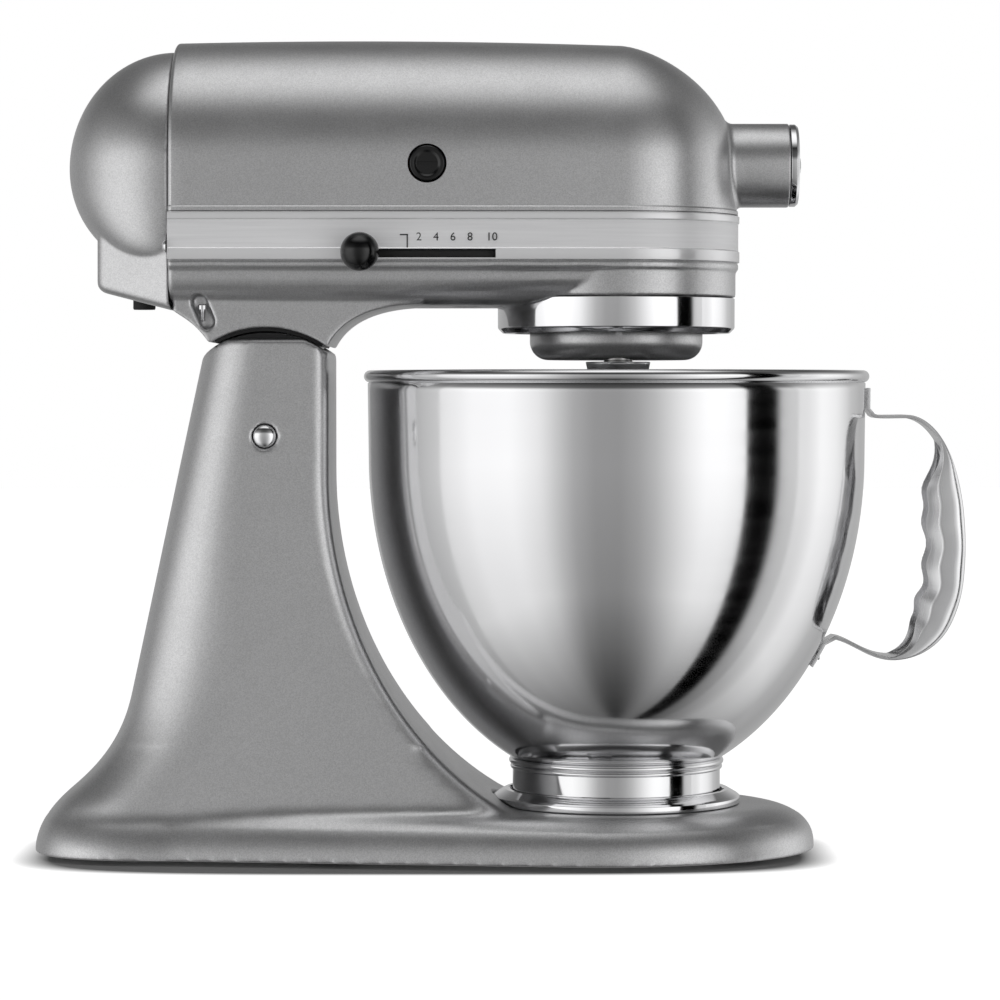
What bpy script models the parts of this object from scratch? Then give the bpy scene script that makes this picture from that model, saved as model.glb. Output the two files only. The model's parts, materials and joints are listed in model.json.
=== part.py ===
"""Tilt-head stand mixer with a stainless bowl, built as the separate pieces it comes apart into.

Every size is in millimetres about the bowl's axis (x = 0, y = 0) with the counter at z = 0, and
piece() turns it into metres.  +X is the front, where the attachment hub is; the speed knob is on
the -Y side.  An empty carries the mixer, so that its middle stands over the world's origin.
"""

import math

import bmesh
import bpy
from mathutils import Matrix, Vector

MM = 0.001
GAP = 0.3
CENTRING = 50.2  # how far the bowl's axis is ahead of the middle of the mixer

# Head castings
HUB_Z = 298.0  # height of the motor, the attachment hub and the centre of the head's arch
NOSE_R = 52.0
HEAD_SWELL = 1.9  # how much fatter the head is halfway along than at its nose
HEAD_REAR_X = -190.6
SEAM_Z = 266.0  # joint between the upper and the lower casting, behind the trim band
UNDERSIDE_Z = 236.6
WALL = 3.5
FLOOR = 6.0  # thickness of the lower casting's floor
DOME_LENGTH = 46.4  # end cover, behind its seam
DOME_Z = 296.0
CORD_INLET = (-207.0, 20.0)
HUB_R = 18.2
HUB_FRONT_X = 74.8
HUB_BORE_R = 15.0
BAND_LOW_Z = 255.6
BAND_TOP_Z = 275.6
BAND_THICK = 1.2

# Tilt hinge
HINGE_X = -150.2
HINGE_Z = 180.9
NECK_ARC_R = 46.2
STAND_ARC_R = 44.2
NECK_HALF = 42.0
TONGUE_HALF = 16.0
TONGUE_LEAN = math.radians(20.5)
PIN_R = 5.0

# Stand
BASE_FRONT_X = 85.7
BASE_REAR_X = -251.2
BASE_HALF = 76.0
BASE_BOTTOM_Z = 2.0
BASE_TOP_Z = 21.5
COLUMN_TOP_Z = 222.0
COLUMN_HALF = 45.0
FOOT_SPOTS = ((48, -38), (48, 38), (-120, -40), (-120, 40), (-222, 0))

# Bowl and its clamp
BOWL_RIM_R = 110.0
BOWL_RIM_Z = 206.4
BOWL_WALL_R = 107.5
BOWL_CURVE_Z = 172.0
BOWL_DEPTH = 144.0
BOWL_SHEET = 1.0
FOOT_R = 45.0
FOOT_TOP_Z = 41.5
PLATE_R = 53.6
PLATE_FLOOR_Z = 24.2

# Gear train
PLANET_TEETH = 14
RING_TEETH = 56
PLANET_MODULE = 1.25
ORBIT_R = (RING_TEETH - PLANET_TEETH) * PLANET_MODULE / 2
CENTRE_TEETH = 42
DRIVE_TEETH = 14
DRIVE_MODULE = 1.5
WORM_OFFSET = 21.3  # from the motor's shaft across to the worm gear's shaft
WORM_SHAFT_X = -math.sqrt(((CENTRE_TEETH + DRIVE_TEETH) * DRIVE_MODULE / 2) ** 2 - WORM_OFFSET**2)
GEAR_TOP_Z = 266.0
GEAR_LOW_Z = 258.0

# Levers and knobs
BRUSH_X = -81.2
BRUSH_Z = 296.0
LEVER_PIVOT = (-82.0, 12.0)
LEVER_RADIUS = 80.0
LEVER_REST = math.radians(19.9)
LEVER_Z = 258.05
SLOT_HALF = 29.7
CLAMP_KNOB_X = 60.0
LOCK_X = -139.0
LOCK_Z = 229.0

# name: (red, green, blue), metallic, roughness
FINISHES = {
    "grey_enamel": ((0.30, 0.30, 0.31), 0.7, 0.38),
    "polished_steel": ((0.78, 0.78, 0.79), 1.0, 0.12),
    "chrome": ((0.80, 0.81, 0.82), 1.0, 0.08),
    "satin_trim": ((0.70, 0.71, 0.72), 0.9, 0.3),
    "black_plastic": ((0.012, 0.012, 0.013), 0.0, 0.2),
    "rubber": ((0.02, 0.02, 0.02), 0.0, 0.7),
    "cast_aluminium": ((0.48, 0.49, 0.50), 0.9, 0.4),
    "gear_steel": ((0.45, 0.44, 0.42), 1.0, 0.35),
    "bronze": ((0.55, 0.38, 0.18), 1.0, 0.35),
    "copper": ((0.72, 0.36, 0.18), 1.0, 0.35),
    "core_iron": ((0.25, 0.25, 0.26), 0.9, 0.5),
    "carbon": ((0.03, 0.03, 0.03), 0.2, 0.6),
    "board": ((0.35, 0.20, 0.10), 0.0, 0.6),
}

# body: the body it moves on, and a point on its joint's axis
BODIES = {
    "stand": (None, (0, 0, 0)),
    "head": ("stand", (HINGE_X, 0, HINGE_Z)),
    "bowl": ("stand", (0, 0, PLATE_FLOOR_Z)),
    "planetary": ("head", (0, 0, 226)),
    "beater": ("planetary", (0, -ORBIT_R, 200)),
    "hub_drive": ("head", (30, 0, HUB_Z)),
    "worm": ("head", (WORM_SHAFT_X, WORM_OFFSET, 280)),
    "motor": ("head", (-120, 0, HUB_Z)),
    "speed_control": ("head", (*LEVER_PIVOT, LEVER_Z)),
    "lock": ("head", (LOCK_X, 45, LOCK_Z)),
    "hub_cap": ("head", (HUB_FRONT_X, 0, HUB_Z)),
    "clamp_knob": ("head", (CLAMP_KNOB_X, 25, HUB_Z)),
}


# ---------------------------------------------------------------- scene and materials


def clear_scene():
    for obj in list(bpy.data.objects):
        bpy.data.objects.remove(obj, do_unlink=True)


def make_finishes():
    made = {}
    for name, (colour, metallic, roughness) in FINISHES.items():
        material = bpy.data.materials.new(name)
        material.use_nodes = True
        shader = material.node_tree.nodes["Principled BSDF"]
        shader.inputs["Base Color"].default_value = (*colour, 1)
        shader.inputs["Metallic"].default_value = metallic
        shader.inputs["Roughness"].default_value = roughness
        made[name] = material
    return made


def make_bodies():
    """One empty for each body, on its joint's axis, all carried by one empty that centres the mixer."""
    carrier = bpy.data.objects.new("mixer", None)
    carrier.location = (CENTRING * MM, 0, 0)
    bpy.context.scene.collection.objects.link(carrier)
    empties = {}
    for body, (parent, anchor) in BODIES.items():
        empty = bpy.data.objects.new(body + "_axis", None)
        bpy.context.scene.collection.objects.link(empty)
        empty.parent = empties[parent] if parent else carrier
        origin = Vector(BODIES[parent][1]) if parent else Vector((0, 0, 0))
        empty.location = (Vector(anchor) - origin) * MM
        empties[body] = empty
    return empties


clear_scene()
MATERIALS = make_finishes()
AXES = make_bodies()


def piece(name, body, mesh_data, finish, smooth_angle=35):
    """A solid of the mixer, drawn in millimetres, hung from its body's empty."""
    anchor = Vector(BODIES[body][1])
    bmesh.ops.recalc_face_normals(mesh_data, faces=mesh_data.faces)
    mesh_data.transform(Matrix.Scale(MM, 4) @ Matrix.Translation(-anchor))
    mesh = bpy.data.meshes.new(name)
    mesh_data.to_mesh(mesh)
    mesh_data.free()
    mesh.materials.append(MATERIALS[finish])
    mesh.shade_smooth()
    mesh.set_sharp_from_angle(angle=math.radians(smooth_angle))
    obj = bpy.data.objects.new(name, mesh)
    bpy.context.scene.collection.objects.link(obj)
    obj.parent = AXES[body]
    return obj


def shape(obj, operation, mesh_data):
    """Adds or cuts a hidden solid with a Boolean modifier."""
    number = len(obj.modifiers)
    tool = piece(f"{obj.name}_tool_{number}", "stand", mesh_data, "core_iron")
    tool.hide_render = True
    tool.display_type = "WIRE"
    change = obj.modifiers.new(f"{operation.lower()}_{number}", "BOOLEAN")
    change.operation = operation
    change.solver = "EXACT"
    change.object = tool


def cut(obj, *solids):
    for solid in solids:
        shape(obj, "DIFFERENCE", solid)


def add(obj, *solids):
    for solid in solids:
        shape(obj, "UNION", solid)


# ---------------------------------------------------------------- solids


def is_point(ring):
    return all((Vector(point) - Vector(ring[0])).length < 0.001 for point in ring)


def loft(rings, ring_shaped=False):
    """A closed solid through rings of equally many points: joined into a loop, or closed at both
    ends by a flat cap or, where a ring has shrunk to a point, by that point."""
    solid = bmesh.new()
    rows = [[solid.verts.new(point) for point in ring] for ring in rings]
    count = len(rows[0])
    pairs = list(zip(rows, rows[1:]))
    if ring_shaped:
        pairs.append((rows[-1], rows[0]))
    for low, high in pairs:
        for i in range(count):
            j = (i + 1) % count
            solid.faces.new((low[i], low[j], high[j], high[i]))
    if not ring_shaped:
        for ring, row in ((rings[0], rows[0][::-1]), (rings[-1], rows[-1])):
            if not is_point(ring):
                solid.faces.new(row)
    return merged(solid)


def merged(solid, distance=0.001):
    bmesh.ops.remove_doubles(solid, verts=solid.verts, dist=distance)
    return solid


def shell(outer, inner, crowned=False):
    """A wall between two grids of points, closed along its edges.  A crowned one is swept there and
    back, so that its last columns meet over the centre plane and need no wall between them."""
    solid = bmesh.new()
    grids = []
    for grid in (outer, inner):
        grids.append([[solid.verts.new(point) for point in row] for row in grid])
    rows = len(outer)
    columns = len(outer[0])
    for grid in grids:
        for i in range(rows - 1):
            for j in range(columns - 1):
                corners = (grid[i][j], grid[i + 1][j], grid[i + 1][j + 1], grid[i][j + 1])
                solid.faces.new(corners)
    far = [(i, columns - 1) for i in range(rows - 1, -1, -1)]
    edge = [(0, j) for j in range(columns - 1, 0, -1)] + [(i, 0) for i in range(rows)]
    edge += [(rows - 1, j) for j in range(1, columns)]
    if not crowned:
        edge += far[1:]
    for (i, j), (k, m) in zip(edge, edge[1:]):
        solid.faces.new((grids[0][i][j], grids[0][k][m], grids[1][k][m], grids[1][i][j]))
    return merged(solid)


def turned(profile, segments=24, axis="Z", at=(0, 0, 0), hollow=False):
    """A turned solid.  The profile holds (radius, distance along the axis) and starts and ends on
    the axis; a hollow one is a closed outline that never reaches it.  A flat end is one face."""
    rows = []
    if not hollow:
        flat_start = profile[0][1] == profile[1][1]
        flat_end = profile[-1][1] == profile[-2][1]
        profile = profile[flat_start : len(profile) - flat_end]
    for radius, along in profile:
        row = []
        for i in range(segments):
            angle = 2 * math.pi * (i + 0.5) / segments
            across = (radius * math.cos(angle), radius * math.sin(angle))
            point = {
                "Z": (across[0], across[1], along),
                "X": (along, across[0], across[1]),
                "Y": (across[1], along, across[0]),
            }[axis]
            row.append(Vector(point) + Vector(at))
        rows.append(row)
    return loft(rows, ring_shaped=hollow)


def disc(radius, low, high, segments=24, axis="Z", at=(0, 0, 0)):
    return turned([(0, low), (radius, low), (radius, high), (0, high)], segments, axis, at)


def tube(outer, inner, low, high, segments=24, axis="Z", at=(0, 0, 0)):
    return turned([(inner, low), (outer, low), (outer, high), (inner, high)], segments, axis, at, hollow=True)


def block(low, high):
    (x0, y0, z0), (x1, y1, z1) = low, high
    ring = [(x0, y0), (x1, y0), (x1, y1), (x0, y1)]
    return loft([[(x, y, z0) for x, y in ring], [(x, y, z1) for x, y in ring]])


def prism_across(outline, low, high):
    """An outline in the XZ plane, extruded across the mixer from y = low to y = high."""
    return loft([[(x, low, z) for x, z in outline], [(x, high, z) for x, z in outline]])


def prism_up(outline, low, high):
    return loft([[(x, y, low) for x, y in outline], [(x, y, high) for x, y in outline]])


def arc(centre, radius, start, end, steps):
    """Points on an arc, with its angles in degrees."""
    points = []
    for i in range(steps + 1):
        angle = math.radians(start + (end - start) * i / steps)
        points.append((centre[0] + radius * math.cos(angle), centre[1] + radius * math.sin(angle)))
    return points


def bezier(start, pull_start, pull_end, end, steps):
    points = []
    for i in range(steps + 1):
        t = i / steps
        weights = ((1 - t) ** 3, 3 * t * (1 - t) ** 2, 3 * t * t * (1 - t), t**3)
        corners = (start, pull_start, pull_end, end)
        points.append(tuple(sum(w * corner[k] for w, corner in zip(weights, corners)) for k in (0, 1)))
    return points


def between(value, low, high):
    """How far value is from low to high, held to 0..1 and eased at both ends."""
    share = min(max((value - low) / (high - low), 0), 1)
    return share * share * (3 - 2 * share)


# ---------------------------------------------------------------- head castings


def head_half_width(x):
    """The head is a little fatter halfway along than at its round nose."""
    return NOSE_R + HEAD_SWELL * (1 - min(((x + 110) / 110) ** 2, 1))


def head_grid(profile, rear_x, stations=5, turns=10):
    """Sweeps a profile along the left side, round the nose and back along the right side.

    profile(half_width, nose_share) gives (distance from the centre plane, z) from the wall's edge
    to the centre line; nose_share goes from 0 on the straight sides to 1 at the very front."""
    grid = []
    along = [rear_x * (1 - i / stations) for i in range(stations)]
    for x in along:
        grid.append([(x, -r, z) for r, z in profile(head_half_width(x), 0)])
    for i in range(turns + 1):
        angle = math.pi * (i / turns - 0.5)
        row = profile(NOSE_R, math.cos(angle) ** 2)
        grid.append([(r * math.cos(angle), r * math.sin(angle), z) for r, z in row])
    for x in reversed(along):
        grid.append([(x, r, z) for r, z in profile(head_half_width(x), 0)])
    return grid


def arch_profile(inset, low_z, steps=7):
    """Up the wall from low_z, then over the arch to the crown."""

    def profile(half_width, nose_share):
        reach = half_width - inset
        fullness = 2 - 0.4 * nose_share
        points = [(reach, low_z), (reach, (low_z + HUB_Z) / 2)]
        for i in range(steps + 1):
            angle = math.pi / 2 * i / steps
            share = math.cos(angle)
            height = math.sqrt(max(1 - share**fullness, 0))
            points.append((reach * share, HUB_Z + reach * height))
        return points

    return profile


def tray_profile(inset, floor_z):
    """Down the wall from the seam, in below the trim band, and round to the flat underside."""

    def profile(half_width, _nose_share):
        wall = half_width - inset
        corner = 13 - inset / 2
        points = [(wall, SEAM_Z - GAP), (wall, BAND_LOW_Z - 2.5), (wall - 1.2, BAND_LOW_Z - 4.0)]
        for i in range(4):
            angle = math.pi / 2 * i / 3
            points.append(
                (wall - 2 - corner * (1 - math.cos(angle)), floor_z + corner * (1 - math.sin(angle)))
            )
        points.append((0, floor_z))
        return points

    return profile


def motor_housing():
    outer = head_grid(arch_profile(0, SEAM_Z), HEAD_REAR_X)
    inner = head_grid(arch_profile(WALL, SEAM_Z), HEAD_REAR_X)
    housing = piece("motor_housing", "head", shell(outer, inner, crowned=True), "grey_enamel")
    barrel = [(0, 36), (HUB_R, 36), (HUB_R, HUB_FRONT_X - 1), (HUB_R - 1, HUB_FRONT_X), (0, HUB_FRONT_X)]
    add(housing, turned(barrel, 28, "X", (0, 0, HUB_Z)))
    cut(housing, disc(HUB_BORE_R, 50, 90, 24, "X", (0, 0, HUB_Z)))
    cut(housing, disc(11.9, 30, 60, 24, "X", (0, 0, HUB_Z)))
    for side in (-1, 1):
        cut(housing, disc(8.2, side * 40, side * 70, 24, "Y", (BRUSH_X, 0, BRUSH_Z)))
    cut(housing, disc(3.4, 8, 30, 16, "Y", (CLAMP_KNOB_X, 0, HUB_Z)))
    return housing


def neck_outline():
    """The neck in side view: the arc that rides over the stand, and fillets up to the underside."""
    seat = arc((HINGE_X, HINGE_Z), NECK_ARC_R, 121, 55, 12)
    front = bezier(seat[-1], (-118, 231), (-104, UNDERSIDE_Z), (-84, UNDERSIDE_Z + 0.4), 6)
    return seat + front[1:] + [(-84, 245), (HEAD_REAR_X + 3, 245), (HEAD_REAR_X + 1, 235), (-182, 230.5)]


def tongue_outline():
    """The hinge tongue: a round eye on the pin and a bar that leans forward up to the neck."""
    lean = math.degrees(TONGUE_LEAN)
    eye = arc((HINGE_X, HINGE_Z), 13, 90 - lean + 38, 450 - lean - 38, 14)
    ahead = (math.sin(TONGUE_LEAN), math.cos(TONGUE_LEAN))
    top = (HINGE_X + 52 * ahead[0], HINGE_Z + 52 * ahead[1])
    across = (8 * ahead[1], -8 * ahead[0])
    return eye + [(top[0] + across[0], top[1] + across[1]), (top[0] - across[0], top[1] - across[1])]


def screw_pocket(side):
    """A slanted oval pocket in the side of the neck, which bares the screw that holds the castings."""
    low = arc((-174.6, 229.5), 3.3, 200, 380, 8)
    high = arc((-178.2, 238.0), 3.3, 20, 200, 8)
    ends = sorted((side * 35.5, side * 60))
    return prism_across(low + high, *ends)


def lower_housing():
    outer = head_grid(tray_profile(0, UNDERSIDE_Z), HEAD_REAR_X)
    inner = head_grid(tray_profile(WALL, UNDERSIDE_Z + FLOOR), HEAD_REAR_X)
    housing = piece("lower_housing", "head", shell(outer, inner, crowned=True), "grey_enamel")
    cut(housing, disc(52.2, 225, 240.45, 36))
    boss = [(13.3, 249.5), (42.5, 249.5), (42.5, 240.5), (51.8, 240.5), (51.8, 254.5), (13.3, 254.5)]
    cut(housing, disc(44, 230, 249.6, 36))
    add(housing, turned(boss, 36, hollow=True))
    add(housing, prism_across(neck_outline(), -NECK_HALF, NECK_HALF))
    add(housing, prism_across(tongue_outline(), -TONGUE_HALF, TONGUE_HALF))
    cut(housing, disc(PIN_R + GAP, -50, 50, 24, "Y", (HINGE_X, 0, HINGE_Z)))
    slot_low = (LEVER_PIVOT[0] - SLOT_HALF, -60, 256.2)
    slot_high = (LEVER_PIVOT[0] + SLOT_HALF, -44, 259.9)
    cut(housing, block(slot_low, slot_high))
    cut(housing, screw_pocket(-1), screw_pocket(1))
    cut(housing, disc(5.5, 230, 238.8, 20, at=(-65, 0, 0)))
    cut(housing, disc(3.3, 233, 252, 16, at=(*LEVER_PIVOT, 0)))
    cut(housing, disc(4.3, 28, 60, 20, "Y", (LOCK_X, 0, LOCK_Z)))
    return housing


def end_cover_dome(inset, front_x):
    """The dome behind the seam: round above its centre, boxy below it where it meets the skirt."""
    rings = []
    steps = 7
    for i in range(steps):
        angle = math.pi / 2 * i / steps
        scale = math.cos(angle)
        ring = []
        for k in range(24):
            turn = 2 * math.pi * k / 24
            rise, power = (51, 2) if math.sin(turn) > 0 else (45, 2 + 3 * scale**2)
            across = math.copysign(abs(math.cos(turn)) ** (2 / power), math.cos(turn))
            height = math.copysign(abs(math.sin(turn)) ** (2 / power), math.sin(turn))
            x = front_x - (DOME_LENGTH - inset) * math.sin(angle)
            ring.append((x, (50 - inset) * scale * across, DOME_Z + (rise - inset) * scale * height))
        rings.append(ring)
    tip = (front_x - (DOME_LENGTH - inset), 0, DOME_Z)
    rings.append([tip] * 24)
    return loft(rings)


def skirt_ring(inset, draw, rise, flat_z=None):
    """One level of the skirt: a wedge in plan, level with its sloping bottom or flat at flat_z."""
    front = HEAD_REAR_X - GAP + (0.5 if inset else 0)
    plan = [(front, 46), (-220, 30.5), (-224, 26)]
    ring = [(x + (inset + draw) * (x < front), y - inset - draw) for x, y in plan]
    ring += [(x, -y) for x, y in reversed(ring)]
    return [(x, y, flat_z or 234.5 + (HEAD_REAR_X - x) * 0.258 + inset + rise) for x, y in ring]


def end_cover_skirt(inset):
    levels = [skirt_ring(inset, 3.5, 0), skirt_ring(inset, 1, 1), skirt_ring(inset, 0, 3.5)]
    return loft(levels + [skirt_ring(inset, 0, 0, 280)])


def end_cover():
    front = HEAD_REAR_X - GAP
    cover = piece("end_cover", "head", end_cover_dome(0, front), "grey_enamel")
    add(cover, end_cover_skirt(0))
    cut(cover, end_cover_dome(WALL, front + 0.5), end_cover_skirt(WALL))
    cut(cover, disc(5.3, 225, 250, 14, at=(*CORD_INLET, 0)))
    return cover


def band_profile(out):
    def profile(half_width, _nose_share):
        return [(half_width + out, BAND_LOW_Z), (half_width + out, BAND_TOP_Z)]

    return profile


def trim_band():
    outer = head_grid(band_profile(GAP + BAND_THICK), HEAD_REAR_X, 8, 20)
    inner = head_grid(band_profile(GAP), HEAD_REAR_X, 8, 20)
    band = piece("trim_band", "head", shell(outer, inner), "satin_trim")
    slot_low = (LEVER_PIVOT[0] - SLOT_HALF, -60, 256.2)
    slot_high = (LEVER_PIVOT[0] + SLOT_HALF, -44, 259.9)
    cut(band, block(slot_low, slot_high))
    return band


def head_fittings():
    ring = [(44, 225.6), (48.5, 225), (50.6, 225.9), (51.5, 228), (51.5, 240.2), (44, 240.2)]
    piece("drip_ring", "head", turned(ring, 40, hollow=True), "chrome")
    for side, hand in ((-1, "left"), (1, "right")):
        rim = [(0, side * 44), (7.8, side * 44), (7.8, side * 53.4), (7.0, side * 54.2), (0, side * 54.2)]
        piece(f"brush_cap_{hand}", "head", turned(rim, 18, "Y", (BRUSH_X, 0, BRUSH_Z)), "black_plastic")
        ends = sorted((side * 12.5, side * 43.5))
        piece(
            f"carbon_brush_{hand}",
            "head",
            block((BRUSH_X - 3, ends[0], BRUSH_Z - 1.5), (BRUSH_X + 3, ends[1], BRUSH_Z + 5.5)),
            "carbon",
        )
        rear = HEAD_REAR_X - 0.5
        dome = [(0, rear - 1.7), (2, rear - 1.4), (3, rear), (0, rear)]
        piece(
            f"trim_screw_{hand}", "head", turned(dome, 12, "X", (0, side * 53.7, 261)), "chrome"
        )
        stem = [(0, 229.5), (1.4, 229.8), (1.4, 234.0), (2.2, 234.3), (2.2, 236.6), (0, 236.9)]
        piece(f"neck_screw_{hand}", "head", turned(stem, 10, at=(-176.8, side * 38.9, 0)), "chrome")
    pivot = [(0, 239.2), (3, 239.2), (3, 260.2), (5, 260.2), (5, 262), (0, 262)]
    piece("lever_pivot", "head", turned(pivot, 14, at=(*LEVER_PIVOT, 0)), "gear_steel")
    piece("cord_inlet", "head", tube(5.0, 3.2, 235.8, 246, 14, at=(*CORD_INLET, 0)), "rubber")
    piece("hub_bush", "head", tube(11.6, 9.3, 37, 49, 18, "X", (0, 0, HUB_Z)), "bronze")


# ---------------------------------------------------------------- stand


def column_rear(z):
    """The back of the column: straight with a slight lean, then swept out to the base's rim."""
    if z > 70:
        return -179.2 - (213.6 - z) * 0.2124
    if z > 28:
        sweep = bezier((-209.7, 70), (-213.5, 52), (-222, 40), (-236.5, 28), 24)
    else:
        sweep = bezier((-236.5, 28), (-245, 21), (-250.4, 13), (BASE_REAR_X, 4), 24)
    for (x0, z0), (x1, z1) in zip(sweep, sweep[1:]):
        if z1 <= z <= z0:
            return x0 + (x1 - x0) * (z0 - z) / (z0 - z1)
    return BASE_REAR_X


def column_front(z):
    """The bay round the bowl: upright above, then an ellipse under the bowl."""
    if z >= 165:
        return -123.2
    return 10 - 133.2 * math.sqrt(max(1 - ((165 - z) / 158) ** 2, 0))


def flare(z, spread):
    """How much a side of the column has spread at a height, on its way down to the base."""
    return spread * (max(96 - z, 0) / 75) ** 2


def stand_outline(front_x, corner, middle_x, rear_x, front_half, middle_half, round_front):
    """One level of the stand, from the front round the -Y side to the back and home again.

    round_front is the depth of the front lobe, or 0 for the column's flat front face."""
    half = []
    steps = 6
    for i in range(steps):
        if round_front:
            angle = math.pi / 2 * i / steps
            half.append((front_x - round_front * (1 - math.cos(angle)), front_half * math.sin(angle)))
            continue
        share = i / (steps - 2)
        angle = math.pi / 2 * max(i - steps + 2, 0) / 2
        flat = front_half - corner
        depth = corner * (1 - math.cos(angle))
        half.append((front_x - depth, flat * min(share, 1) + corner * math.sin(angle)))
    side_x = front_x - (round_front or corner)
    for i in range(4):
        share = i / 4
        half.append((side_x + (middle_x - side_x) * share, front_half + (middle_half - front_half) * share))
    for i in range(7):
        angle = math.pi / 2 * i / 6
        across = middle_half * math.cos(angle) ** 0.7 if i < 6 else 0
        half.append((middle_x + (rear_x - middle_x) * math.sin(angle) ** 0.7, across))
    return [(x, -y) for x, y in half] + [(x, y) for x, y in reversed(half[1:-1])]


def base_edge(z):
    """How far the front of the base's rim is drawn in at a height, where it rounds over to the top."""
    share = min(max((z - 4.5) / (BASE_TOP_Z - 4.5), 0), 1)
    return 24 * (1 - (1 - share**2.2) ** (1 / 2.2))


def base_ring(z, inset=0):
    edge = base_edge(z)
    rear = column_rear(z)
    half = BASE_HALF - 0.67 * edge - inset
    lobe = 95.7 - edge - inset
    middle_half = 54 - (rear - BASE_REAR_X) - inset
    outline = stand_outline(BASE_FRONT_X - edge - inset, 3, -190, rear + inset, half, middle_half, lobe)
    return [(x, y, z) for x, y in outline]


def column_ring(z, inset=0, front_inset=0):
    front = column_front(z) - front_inset
    rear = column_rear(z) + inset
    middle = rear + (front - rear) * (0.242 + 0.3 * between(z, 21.5, 110))
    half = COLUMN_HALF - 2 * between(z, 140, 222) - inset
    outline = stand_outline(front, 3, middle, rear, half + flare(z, 11.5), half + flare(z, 2.2), 0)
    return [(x, y, z) for x, y in outline]


def base_pedestal():
    rings = [base_ring(z) for z in (BASE_BOTTOM_Z, 4.5, 10, 15, 19, BASE_TOP_Z)]
    levels = (BASE_TOP_Z, 24, 28, 34, 42, 54, 70, 90, 120, 160, COLUMN_TOP_Z)
    rings += [column_ring(z) for z in levels]
    stand = piece("base_pedestal", "stand", loft(rings), "grey_enamel")
    hollow = [base_ring(z, 6) for z in (0, 10, 16)]
    hollow += [column_ring(z, 7, front_inset) for z, front_inset in ((16, 32), (32, 14), (60, 8), (125, 7))]
    cut(stand, loft(hollow))
    for x, y in FOOT_SPOTS:
        boss_top = 18 if x > 0 else 30
        add(stand, disc(10.5, 9.8, boss_top, 12, at=(x, y, 0)))
    crown = arc((HINGE_X, HINGE_Z), STAND_ARC_R, 0, 180, 20)
    cut(stand, prism_across(crown + [(-215, HINGE_Z), (-215, 240), (-90, 240), (-90, HINGE_Z)], -60, 60))
    cut(stand, block((HINGE_X - 26, -TONGUE_HALF - 2, 150), (HINGE_X + 23.7, TONGUE_HALF + 2, 240)))
    cut(stand, disc(PIN_R + GAP, -60, 60, 24, "Y", (HINGE_X, 0, HINGE_Z)))
    cut(stand, disc(PLATE_R + 0.8, BASE_TOP_Z + 0.05, 70, 36))
    return stand


def stand_fittings():
    pin_end = COLUMN_HALF - 1
    pin = [(0, -pin_end - 1.5), (3.2, -pin_end - 1), (4.9, -pin_end + 0.6)]
    pin += [(r, -y) for r, y in reversed(pin)]
    piece("hinge_pin", "stand", turned(pin, 18, "Y", (HINGE_X, 0, HINGE_Z)), "chrome")
    for number, (x, y) in enumerate(FOOT_SPOTS, 1):
        foot = [(0, 0), (8.5, 0), (9.5, 1), (9.5, 9.5), (0, 9.5)]
        piece(f"foot_{number}", "stand", turned(foot, 14, at=(x, y, 0)), "rubber")
    plate_rim = [(14, BASE_TOP_Z + GAP), (PLATE_R, BASE_TOP_Z + GAP), (PLATE_R, 24.7), (53, 25.3)]
    plate_rim += [(48.5, 27.8), (45.8, 27.8), (45.8, 26.6), (47.2, 26.6), (47.2, PLATE_FLOOR_Z)]
    plate = turned(plate_rim + [(14, PLATE_FLOOR_Z)], 30, hollow=True)
    clamp = piece("bowl_clamp_plate", "stand", plate, "chrome")
    for number in range(3):
        angle = math.radians(120 * number + 60)
        spot = (25 * math.cos(angle), 25 * math.sin(angle), 0)
        countersink = [(0, 18), (2.2, 18), (2.2, 22.9), (4.9, 22.9), (4.9, 27), (0, 27)]
        cut(clamp, turned(countersink, 12, at=spot))
        screw = [(0, 23.2), (4.5, 23.2), (4.5, 24.4), (3.6, 25.2), (0, 25.4)]
        piece(f"plate_screw_{number + 1}", "stand", turned(screw, 12, at=spot), "gear_steel")
    return clamp


# ---------------------------------------------------------------- bowl


def bowl_radius(z):
    """Outside radius of the bowl's wall: nearly upright above, an ellipse below."""
    if z >= BOWL_CURVE_Z:
        return BOWL_WALL_R + 0.5 * (z - BOWL_CURVE_Z) / (BOWL_RIM_Z - BOWL_CURVE_Z)
    return BOWL_WALL_R * math.sqrt(1 - ((BOWL_CURVE_Z - z) / BOWL_DEPTH) ** 2)


def bowl():
    levels = [FOOT_TOP_Z + (BOWL_CURVE_Z - FOOT_TOP_Z) * (i / 7) ** 1.35 for i in range(8)] + [203.6]
    outside = [(0, 35.5), (22, 35.8), (38, 37.8)] + [(bowl_radius(z), z) for z in levels]
    inside = [(max(r - BOWL_SHEET, 0), z) for r, z in outside[3:]]
    floor = [(38, 38.9), (22, 36.9), (9, 37.2), (0, 40.4)]
    outside = [(0, 39.2), (9, 36.1)] + outside[1:]
    rim_x = BOWL_RIM_R - 2.6
    roll = arc((rim_x, BOWL_RIM_Z), 2.6, -80, 190, 4)
    profile = outside + roll + inside[::-1] + floor
    piece("bowl_shell", "bowl", turned(profile, 40), "polished_steel")


def bowl_foot():
    wall = [(FOOT_R - 1.2, PLATE_FLOOR_Z + GAP), (FOOT_R, PLATE_FLOOR_Z + GAP), (FOOT_R, 37.6)]
    wall += arc((FOOT_R, 39.2), 1.6, -90, 60, 4) + [(FOOT_R - 1.2, 40.6), (FOOT_R - 1.2, 39)]
    foot = piece("bowl_foot", "bowl", turned(wall, 36, hollow=True), "polished_steel")
    for number in range(4):
        angle = math.radians(90 * number + 45)
        spread = math.radians(5)
        lug = []
        for radius, turn in ((44.2, -1), (46.6, -1), (46.6, 1), (44.2, 1)):
            lug.append((radius * math.cos(angle + turn * spread), radius * math.sin(angle + turn * spread)))
        add(foot, prism_up(lug, 24.8, 26.2))


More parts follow.
